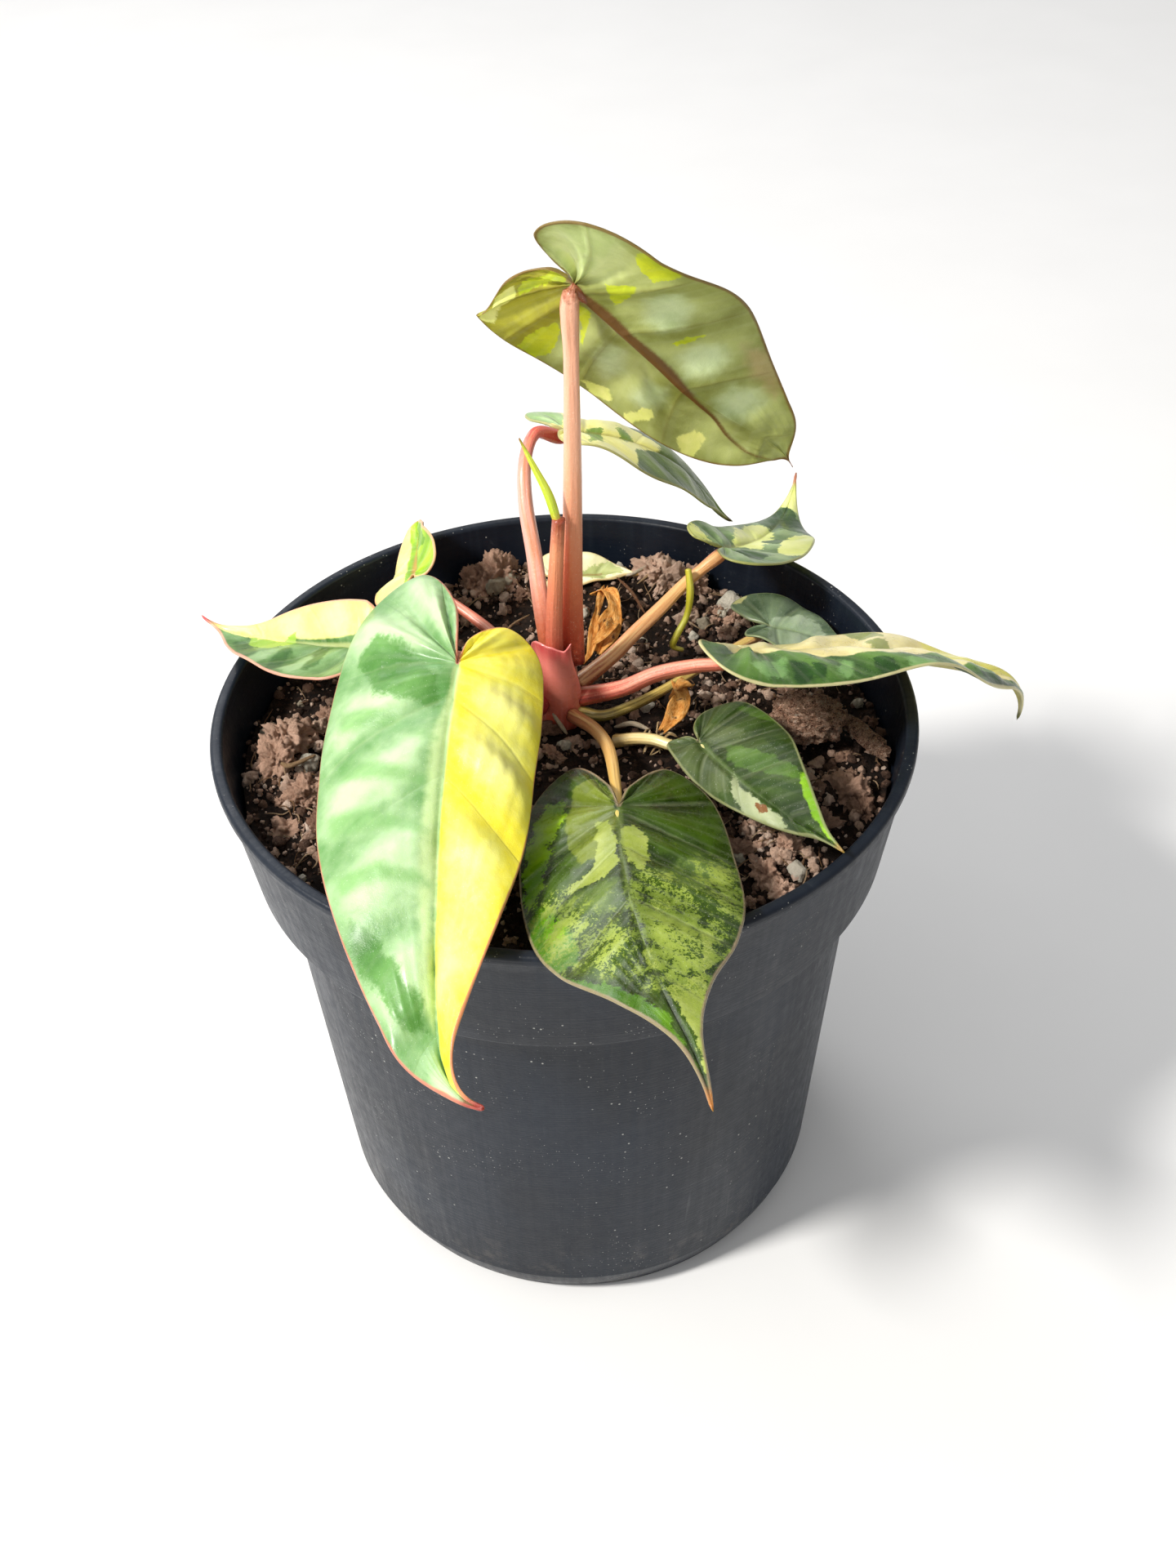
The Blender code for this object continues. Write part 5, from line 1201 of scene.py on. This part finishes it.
def add_pot():
    """The pot with its drain holes cut through the floor."""
    points, faces = revolve(pot_profile(), POT_SIDES)
    pot = add_piece("nursery_pot", points, faces, [pot_material()], ["pot"])
    tools = []
    for k in range(HOLE_COUNT):
        turn = 2 * math.pi * (k + 0.5) / HOLE_COUNT
        made = bmesh.new()
        at = Vector((HOLE_RING * math.cos(turn), HOLE_RING * math.sin(turn), 1.0)) * MM
        bmesh.ops.create_cone(made, cap_ends=True, segments=40, radius1=HOLE_RADIUS * MM,
                              radius2=HOLE_RADIUS * MM, depth=8 * MM, matrix=Matrix.Translation(at))
        mesh = bpy.data.meshes.new("hole")
        made.to_mesh(mesh)
        made.free()
        tool = bpy.data.objects.new("hole", mesh)
        scene.collection.objects.link(tool)
        step = pot.modifiers.new("hole", "BOOLEAN")
        step.operation, step.solver, step.object = "DIFFERENCE", "EXACT", tool
        tools.append(tool)
    bpy.context.view_layer.update()
    cut = bpy.data.meshes.new_from_object(pot.evaluated_get(bpy.context.evaluated_depsgraph_get()))
    pot.modifiers.clear()
    pot.data = cut
    for tool in tools:
        bpy.data.objects.remove(tool, do_unlink=True)


# Soil

SOIL_LEVEL = 105.6
SOIL_RADIUS = 61.0
BED_RINGS = 130
BED_SIDES = 300
# Height that marks the points of the top until they get their own.
BED_MARK = 100.0
# Where a clod stands up: x, y, radius and height.
CLODS = [(-52, 2, 6.5, 3.0), (-54, -6, 5.0, 2.4), (-47, -11, 5.0, 1.8), (-45, -22, 5.5, 1.2),
         (-14, 54, 6.5, 3.0), (-5, 56, 5.5, 2.0), (22, 54, 7.0, 3.2), (33, -26, 5.5, 1.6),
         (37, -32, 4.5, 1.6), (-26, 48, 6.0, 1.6), (36, 42, 6.0, 1.0), (-20, -37, 6.0, 1.0),
         (0, 31, 6.0, 1.0), (44, -14, 6.0, 1.2), (30, 14, 6.0, 0.8), (-30, -12, 8.0, 0.8),
         (46, 12, 5.0, 1.0), (10, -50, 6.0, 1.0), (-36, 32, 6.0, 1.0), (14, 24, 5.0, 0.9)]


def from_stem(x, y):
    """Distance from the stem."""
    return np.hypot(x - CROWN_AT[0], y - CROWN_AT[1])


def soil_height(x, y):
    """Level of the soil with its clods and crumbs."""
    height = SOIL_LEVEL + 0.5 * math.sin(0.071 * x + 0.8) + 0.6 * math.sin(-0.055 * y + 0.3)
    height += 2.6 * math.exp(-((x - 6.0) ** 2 + (y - 51.0) ** 2) / 90.0)
    for cx, cy, radius, tall in CLODS:
        away = ((x - cx) ** 2 + (y - cy) ** 2) / radius**2
        if away < 4.0:
            uneven = 0.75 + 0.5 * field.noise(Vector((x * 0.5, y * 0.5, cx)))
            height += tall * math.exp(-(away**1.5)) * uneven
    height += 0.9 * field.fractal(Vector((x * 0.22, y * 0.22, 1.0)), 1.0, 2.1, 5)
    return height


def soil_material():
    """Dark moist compost between the crumbs, near black in places as painted shade in the gaps."""
    g = Graph("soil_bed", 0.92, 0.2)
    at = g.place()
    tone = g.noise(at, 0.5, 6.0, 0.7)
    grit = g.noise(at, 3.0, 3.0, 0.7)
    # dark moist compost, its darkest end standing as painted shade in the gaps between the crumbs
    colour = g.ramp(tone * 0.7 + grit * 0.3,
                    [(0.3, (10, 7, 5)), (0.5, (32, 22, 16)), (0.62, (70, 50, 38)), (0.75, (116, 88, 70))])
    relief = g.bump(tone, 1.1)
    return g.finish(colour, g.span(grit, 0.3, 0.7, 0.82, 0.98), g.bump(grit, 0.35, relief))


def add_soil():
    """The fill, with a rough top where the crumbs lie."""
    ledge = STEP_HEIGHT + 1.95
    profile = [(0, 2.35), (44.9, 2.35), (48.2, 7.0), (54.0, STEP_HEIGHT), (54.0, ledge), (58.8, ledge),
               (60.5, 103.8)]
    profile += [(60.3 * (1 - k / BED_RINGS) ** 0.92, BED_MARK) for k in range(BED_RINGS)] + [(0, BED_MARK)]
    points, faces = revolve(profile, BED_SIDES)
    points = np.array(points)
    bed = points[:, 2] == BED_MARK
    points[bed, 2] = [soil_height(x, y) - 0.5 for x, y in points[bed, :2]]
    # a hollow round the stem
    away = from_stem(points[:, 0], points[:, 1])
    points[:, 2] -= np.where(bed, 2.0 * np.exp(-(away / 4.5) ** 2), 0.0)
    add_piece("soil_bed", points, faces, [soil_material()], ["soil"])


def crumb_material(name, stops, rough=0.9):
    """Grains in the colours of the given stops, each with its own tone and a grainy skin."""
    g = Graph(name, rough, 0.25)
    tint = g.values("tint")[0]
    at = g.place()
    skin = g.noise(at, 1.6, 5.0, 0.7)
    grit = g.noise(at, 5.0, 3.0, 0.7)
    colour = g.ramp(tint * 0.72 + skin * 0.28, stops)
    colour = g.mix(g.step(grit, 0.58, 0.72) * 0.35, colour, stops[-1][1])
    colour = g.mix(g.step(grit, 0.42, 0.3) * 0.45, colour, stops[0][1])
    relief = g.bump(skin, 0.75)
    return g.finish(colour, g.span(grit, 0.3, 0.7, rough - 0.12, min(1.0, rough + 0.06)),
                    g.bump(grit, 0.35, relief))


def ball(subdivisions):
    """Points and faces of a sphere of unit radius."""
    made = bmesh.new()
    bmesh.ops.create_icosphere(made, subdivisions=subdivisions, radius=1.0)
    points = np.array([v.co for v in made.verts])
    faces = [[v.index for v in f.verts] for f in made.faces]
    made.free()
    return points, faces


def lump_shapes(subdivisions, count, seed, sharp, crumbled=0.0):
    """A few broken lumps of about unit radius; crumbled ones are rough all over."""
    shapes = []
    points, faces = ball(subdivisions)
    for k in range(count):
        push = []
        for p in points:
            broad = field.noise(Vector(p * 1.3) + Vector((seed, k * 7.0, 0)))
            small = field.noise(Vector(p * 3.1) + Vector((0, seed, k * 5.0)))
            crumbs = field.fractal(Vector(p * 3.4) + Vector((seed, 0, k * 9.0)), 0.6, 2.1, 5)
            push.append(1.0 + sharp * broad + 0.5 * sharp * small + crumbled * crumbs)
        shapes.append((points * np.array(push)[:, None], faces))
    return shapes


def turn_matrix(dice):
    """A random turn."""
    q = dice.normal(size=4)
    w, x, y, z = q / np.linalg.norm(q)
    return np.array([[1 - 2 * (y * y + z * z), 2 * (x * y - z * w), 2 * (x * z + y * w)],
                     [2 * (x * y + z * w), 1 - 2 * (x * x + z * z), 2 * (y * z - x * w)],
                     [2 * (x * z - y * w), 2 * (y * z + x * w), 1 - 2 * (x * x + y * y)]])


def near_wall(height):
    """How far out a grain may lie."""
    return 59.2 + 3.2 * (height - STEP_HEIGHT - WALL) / 22.5


def kept_within(x, y, reach):
    """The place, drawn in to lie no further from the axis than reach."""
    away = math.hypot(x, y)
    return (x * reach / away, y * reach / away) if away > reach else (x, y)


def scatter(name, shapes, places, material, seed, sink=0.35):
    """Many grains in one mesh, at places of x, y, size and tone."""
    dice = np.random.default_rng(seed)
    points, tints, faces, start = [], [], [], 0
    for x, y, size, tone in places:
        shape, mesh = shapes[int(dice.integers(len(shapes)))]
        scale = size * 0.5 * dice.uniform(0.72, 1.28, 3)
        level = soil_height(x, y) - 0.5
        x, y = kept_within(x, y, near_wall(level) - 0.55 * size)
        at = np.array([x, y, level + size * (0.5 - sink)])
        points.append((shape * scale) @ turn_matrix(dice).T + at)
        tints.append(np.tile([tone, size, 0.0], (len(shape), 1)))
        faces += [[start + v for v in f] for f in mesh]
        start += len(shape)
    vectors = {"tint": np.concatenate(tints)}
    return add_piece(name, np.concatenate(points), faces, [material], (), vectors, tidy=False)


def on_disc(dice, radius):
    """A random place within a radius."""
    reach, turn = radius * math.sqrt(dice.random()), dice.uniform(0, 2 * math.pi)
    return reach * math.cos(turn), reach * math.sin(turn)


def soil_places(count, sizes, seed, tones, clumped=0.0, spread=1.0):
    """Random places on the soil; a share of them sits on the clods and is paler."""
    dice = np.random.default_rng(seed)
    places = []
    while len(places) < count:
        on_clod = dice.random() < clumped
        if on_clod:
            cx, cy, radius, _ = CLODS[int(dice.integers(len(CLODS)))]
            x, y = (c + dice.normal() * radius * 0.6 * spread for c in (cx, cy))
        else:
            x, y = on_disc(dice, SOIL_RADIUS)
        size = dice.uniform(*sizes) if dice.random() < 0.5 else sizes[0]
        tone = float(np.clip(dice.uniform(*tones) + (0.15 if on_clod else 0.0), 0, 1))
        if math.hypot(x, y) < SOIL_RADIUS and from_stem(x, y) > 5.2:
            places.append((x, y, size, tone))
    return places


# Colours of the grains, from the darkest tone to the palest.
COMPOST = [(0.0, (14, 9, 7)), (0.30, (58, 41, 32)), (0.46, (146, 112, 92)), (0.60, (226, 190, 166)),
           (1.0, (254, 240, 224))]
STONE = [(0.0, (120, 108, 92)), (0.4, (196, 184, 160)), (0.7, (226, 218, 200)), (1.0, (244, 240, 230))]
REDDISH = [(0.0, (30, 20, 15)), (0.35, (132, 96, 76)), (0.60, (222, 180, 154)), (1.0, (250, 226, 204))]

# Larger lumps that show: x, y, size and tone.
BIG_LUMPS = [(51.3, -15.7, 6.5, 0.55), (44.2, -24.2, 5.5, 0.45), (53.0, -21.0, 5.0, 0.4),
             (34.1, -36.3, 4.8, 0.6), (36.3, -41.5, 5.4, 0.7), (25.2, -40.3, 4.2, 0.4),
             (-52.5, 3.4, 8.0, 0.7), (-54.0, -3.6, 6.5, 0.6), (-12.8, 55.3, 8.0, 0.55),
             (-18.0, 56.0, 6.0, 0.5), (24.3, 55.2, 8.5, 0.85), (20.0, 56.0, 6.5, 0.75),
             (29.0, 52.0, 6.0, 0.7), (-48.0, -12.0, 5.5, 0.55), (-44.5, -20.0, 5.0, 0.35),
             (-46.0, 12.0, 4.5, 0.5), (1.2, 0.9, 3.4, 0.8), (-2.4, -2.6, 3.0, 0.6), (29.8, -30.4, 4.6, 0.5),
             (38.0, -31.0, 4.4, 0.65)]

# White grains that show, likewise; the rest are random.
WHITE_GRAINS = [(-48, -3.1, 3.6, 0.75), (35.5, 44.7, 4.0, 0.8), (40.4, 50.9, 3.8, 0.85),
                (26.9, 49.6, 2.2, 0.6), (-0.3, -0.2, 2.4, 0.7), (39.5, -36.2, 3.0, 0.7),
                (13.3, 56.0, 2.6, 0.8), (-13.3, 51.3, 4.4, 0.35), (-10.5, 53.5, 3.2, 0.4),
                (-56.5, 7.3, 3.4, 0.2), (22.0, -47.0, 2.4, 0.7), (29.4, 38.7, 2.6, 0.1),
                (-30, 44, 2.2, 0.6), (17, 12, 1.6, 0.8)]
WHITE_COUNT = 46


def add_crumbs():
    """Crumbs, clods, perlite and other grains, all resting on the soil."""
    crumb = crumb_material("soil_crumb_skin", COMPOST)
    grains = soil_places(5200, (0.45, 1.1), 21, (0.05, 0.85), 0.35)
    scatter("soil_grains", lump_shapes(1, 5, 11, 0.5), grains, crumb, 31)
    crumbs = soil_places(2200, (0.9, 2.3), 22, (0.1, 0.75), 0.30)
    scatter("soil_crumbs", lump_shapes(2, 6, 12, 0.55), crumbs, crumb, 32)
    reddish = crumb_material("soil_clod_skin", REDDISH)
    lumps = soil_places(120, (2.0, 4.2), 23, (0.15, 0.8), 0.6)
    scatter("soil_clods", lump_shapes(4, 6, 13, 0.65, 0.34), lumps, reddish, 33, sink=0.5)
    scatter("soil_clods_large", lump_shapes(5, 5, 15, 0.7, 0.38), BIG_LUMPS, reddish, 35, sink=0.5)
    white = list(WHITE_GRAINS)
    dice = np.random.default_rng(24)
    while len(white) < WHITE_COUNT:
        x, y = on_disc(dice, 60.0)
        if from_stem(x, y) > 7:
            white.append((x, y, dice.uniform(1.0, 2.2), dice.uniform(0.2, 0.95)))
    perlite = crumb_material("perlite_skin", STONE, 0.8)
    scatter("soil_perlite", lump_shapes(3, 6, 14, 0.5), white, perlite, 34, sink=0.25)


def thin_tubes(name, lines, material, sides=5, rings=10):
    """Many thin threads in one mesh: each line is points, radius and tone."""
    points, tints, faces = [], [], []
    taper = 1 - 0.65 * np.abs(np.linspace(-1, 1, rings)) ** 3
    count = rings * sides
    for given, radius, tone in lines:
        start = count * len(points)
        path = path_points(given, rings)
        skin = path[:, None] + radius * taper[:, None, None] * spokes(path, sides)[1]
        points.append(skin.reshape(-1, 3))
        tints.append(np.tile([tone, radius, 0.0], (count, 1)))
        faces += sheet_faces(rings, sides, start, closed=True)
        faces += [range(start, start + sides), range(start + count - sides, start + count)]
    vectors = {"tint": np.concatenate(tints)}
    return add_piece(name, np.concatenate(points), [tuple(f) for f in faces], [material], (),
                     vectors)


def add_threads():
    """Coir fibres and rootlets in the compost, and the few roots that show."""
    dice = np.random.default_rng(41)
    lines = []
    for x, y, _, tone in soil_places(380, (1.0, 2.0), 42, (0.2, 1.0), 0.65, 1.3):
        turn, length, bend = dice.uniform(0, 2 * math.pi), dice.uniform(2.0, 6.5), dice.uniform(-0.9, 0.9)
        line = []
        for k in range(4):
            way, far = turn + bend * k / 3, length * k / 3
            px, py = kept_within(x + far * math.cos(way), y + far * math.sin(way), 59.0)
            arch = 0.7 * math.sin(math.pi * k / 3) * dice.random()
            line.append((px, py, soil_height(px, py) + 0.1 + arch))
        lines.append((line, dice.uniform(0.07, 0.16), tone))
    fibre = [(0.0, (60, 40, 26)), (0.5, (140, 104, 72)), (1.0, (214, 186, 150))]
    thin_tubes("soil_fibres", lines, crumb_material("fibre_skin", fibre, 0.8))
    roots = [
        ([(12.2, 52.5, 108.4), (15.0, 51.0, 109.6), (18.5, 53.6, 109.6), (21.5, 56.4, 109.2)], 0.36, 0.95),
        ([(12.1, 50.1, 109.6), (15.0, 45.5, 108.9), (17.5, 40.8, 106.6)], 0.34, 0.30),
        ([(16.3, 49.2, 108.4), (20.0, 51.6, 109.8), (24.3, 54.4, 110.2)], 0.30, 0.55),
        ([(-12.8, 34.3, 106.3), (-10.0, 37.0, 107.8), (-6.3, 41.1, 107.4)], 0.26, 0.45),
        ([(-54.8, 0.6, 108.2), (-51.7, -5.8, 108.9), (-46.5, -3.4, 109.2)], 0.5, 0.5),
        ([(-2.2, 4.9, 110.2), (-1.2, 3.8, 109.0), (0.4, 2.4, 107.0)], 0.42, 0.85),
        ([(9.4, 4.0, 107.0), (12.8, 3.6, 108.0), (16.0, 2.0, 107.6)], 0.5, 0.9),
        ([(47.0, 35.0, 106.6), (50.0, 37.0, 109.0), (52.0, 36.0, 110.5)], 0.35, 0.6),
    ]
    tones = [(0.0, (70, 44, 28)), (0.35, (120, 78, 50)), (0.6, (190, 160, 120)), (1.0, (240, 230, 208))]
    thin_tubes("soil_roots", roots, crumb_material("root_skin", tones, 0.6), sides=10, rings=26)
    tuft = []
    for _ in range(26):
        x, y = 16.2 + dice.normal() * 1.5, -0.8 + dice.normal() * 1.7
        turn, length = dice.uniform(0, 2 * math.pi), dice.uniform(1.6, 4.2)
        ends = [(x + k * length / 2 * math.cos(turn), y + k * length / 2 * math.sin(turn))
                for k in range(3)]
        rises = (0.4, dice.uniform(0.8, 2.2), dice.uniform(0.6, 2.8))
        tuft.append(([(px, py, soil_height(px, py) + rise) for (px, py), rise in zip(ends, rises)],
                     dice.uniform(0.14, 0.34), dice.uniform(0.5, 1.0)))
    husk = [(0.0, (120, 84, 50)), (0.5, (204, 168, 116)), (1.0, (246, 224, 182))]
    thin_tubes("husk_tuft", tuft, crumb_material("husk_skin", husk, 0.7), sides=6, rings=9)


def bark_material():
    """Weathered bark: pinkish brown with pale grit and dark pits."""
    g = Graph("bark_skin", 0.9, 0.25)
    at = g.place()
    rough = g.noise(at, 0.9, 6.0, 0.75)
    grit = g.noise(at, 3.6, 4.0, 0.7)
    colour = g.ramp(rough * 0.6 + grit * 0.4, [(0.37, (70, 46, 34)), (0.45, (196, 142, 114)),
                                               (0.54, (248, 204, 172)), (0.66, (254, 240, 224))])
    relief = g.bump(rough, 1.1)
    return g.finish(colour, g.span(grit, 0.3, 0.7, 0.8, 0.98), g.bump(grit, 0.3, relief))


# Name, centre, half sizes, turn in degrees and seed of each lump of bark.
BARK = (("chunk", (45.6, 1.2, 109.6), (6.6, 5.2, 3.0), -18, 3),
        ("stick", (56.2, -4.4, 108.9), (6.6, 1.7, 1.4), -60, 8))


def add_bark():
    """The lumps of bark, broken and cracked."""
    skin = bark_material()
    sphere, faces = ball(6)
    for name, centre, half, angle, seed in BARK:
        turn = math.radians(angle)
        points = []
        for d in np.sign(sphere) * np.abs(sphere) ** 0.7 * half:
            p = Vector(d)
            push = 1 + 0.20 * field.fractal(p * 0.36 + Vector((seed, 0, 0)), 0.7, 2.2, 6)
            push += 0.05 * field.noise(Vector((p.x * 0.4, p.y * 1.6, p.z * 1.6)))
            # cracks along the piece
            split = abs(field.noise(Vector((p.x * 0.22, p.y * 0.75, p.z * 0.75 + seed))))
            push -= 0.16 * max(0.0, 1 - split / 0.09)
            d = d * min(push, 1.16)
            points.append((centre[0] + d[0] * math.cos(turn) - d[1] * math.sin(turn),
                           centre[1] + d[0] * math.sin(turn) + d[1] * math.cos(turn), centre[2] + d[2]))
        add_piece("bark_" + name + "_rough", points, faces, [skin], ["bark_" + name])


add_camera()
for leaf_name, leaf_look in LOOKS.items():
    leaf_piece(leaf_name, leaf_look)
add_stalks()
add_cup()
add_stems()
add_strips()
add_pot()
add_soil()
add_crumbs()
add_threads()
add_bark()


# Studio

# Place in metres, size, power and linear colour of each lamp.
LAMPS = {"key": ((-0.62, -0.36, 0.88), 0.16, 12.5, (1.0, 0.97, 0.92)),
         "fill": ((-0.40, 0.75, 0.80), 0.6, 3.0, (1.0, 1.0, 1.0))}
LAMP_AIM = Vector((0.0, 0.0, 0.12))
FLOOR_HALF = 4.0
# Strength of the surround on the left and on the right, and the ways between which it fades.
SURROUND = {"From Min": -0.8, "From Max": 0.6, "To Min": 0.78, "To Max": 0.36}


def add_light(name, at, size, power, colour):
    """A soft round lamp that faces the plant."""
    data = bpy.data.lights.new(name, "AREA")
    data.shape = "DISK"
    data.size = size
    data.energy = power
    data.color = colour
    lamp = bpy.data.objects.new(name, data)
    lamp.location = at
    lamp.rotation_euler = (LAMP_AIM - Vector(at)).to_track_quat("-Z", "Y").to_euler()
    scene.collection.objects.link(lamp)


def add_studio():
    """A plain pale floor, a white surround that is brighter on the left, and two soft lamps."""
    g = Graph("floor_paint", 0.7, 0.2)
    grain = g.noise(g.place(), 0.02, 3.0)
    mesh = bpy.data.meshes.new("floor")
    corners = [(x * FLOOR_HALF, y * FLOOR_HALF, 0) for x, y in ((-1, -1), (1, -1), (1, 1), (-1, 1))]
    mesh.from_pydata(corners, [], [(0, 1, 2, 3)])
    mesh.materials.append(g.finish(g.mix(grain, (240, 240, 240), (246, 246, 246))))
    floor = bpy.data.objects.new("floor", mesh)
    scene.collection.objects.link(floor)
    world = bpy.data.worlds.new("surround")
    world.use_nodes = True
    tree = world.node_tree
    way = tree.nodes.new("ShaderNodeSeparateXYZ")
    tree.links.new(tree.nodes.new("ShaderNodeTexCoord").outputs["Generated"], way.inputs[0])
    fade = tree.nodes.new("ShaderNodeMapRange")
    for key, number in SURROUND.items():
        fade.inputs[key].default_value = number
    tree.links.new(way.outputs[0], fade.inputs["Value"])
    tree.nodes["Background"].inputs["Color"].default_value = (1.0, 1.0, 1.0, 1.0)
    tree.links.new(fade.outputs[0], tree.nodes["Background"].inputs["Strength"])
    scene.world = world
    for name, lamp in LAMPS.items():
        add_light(name, *lamp)


add_studio()
bpy.context.view_layer.update()
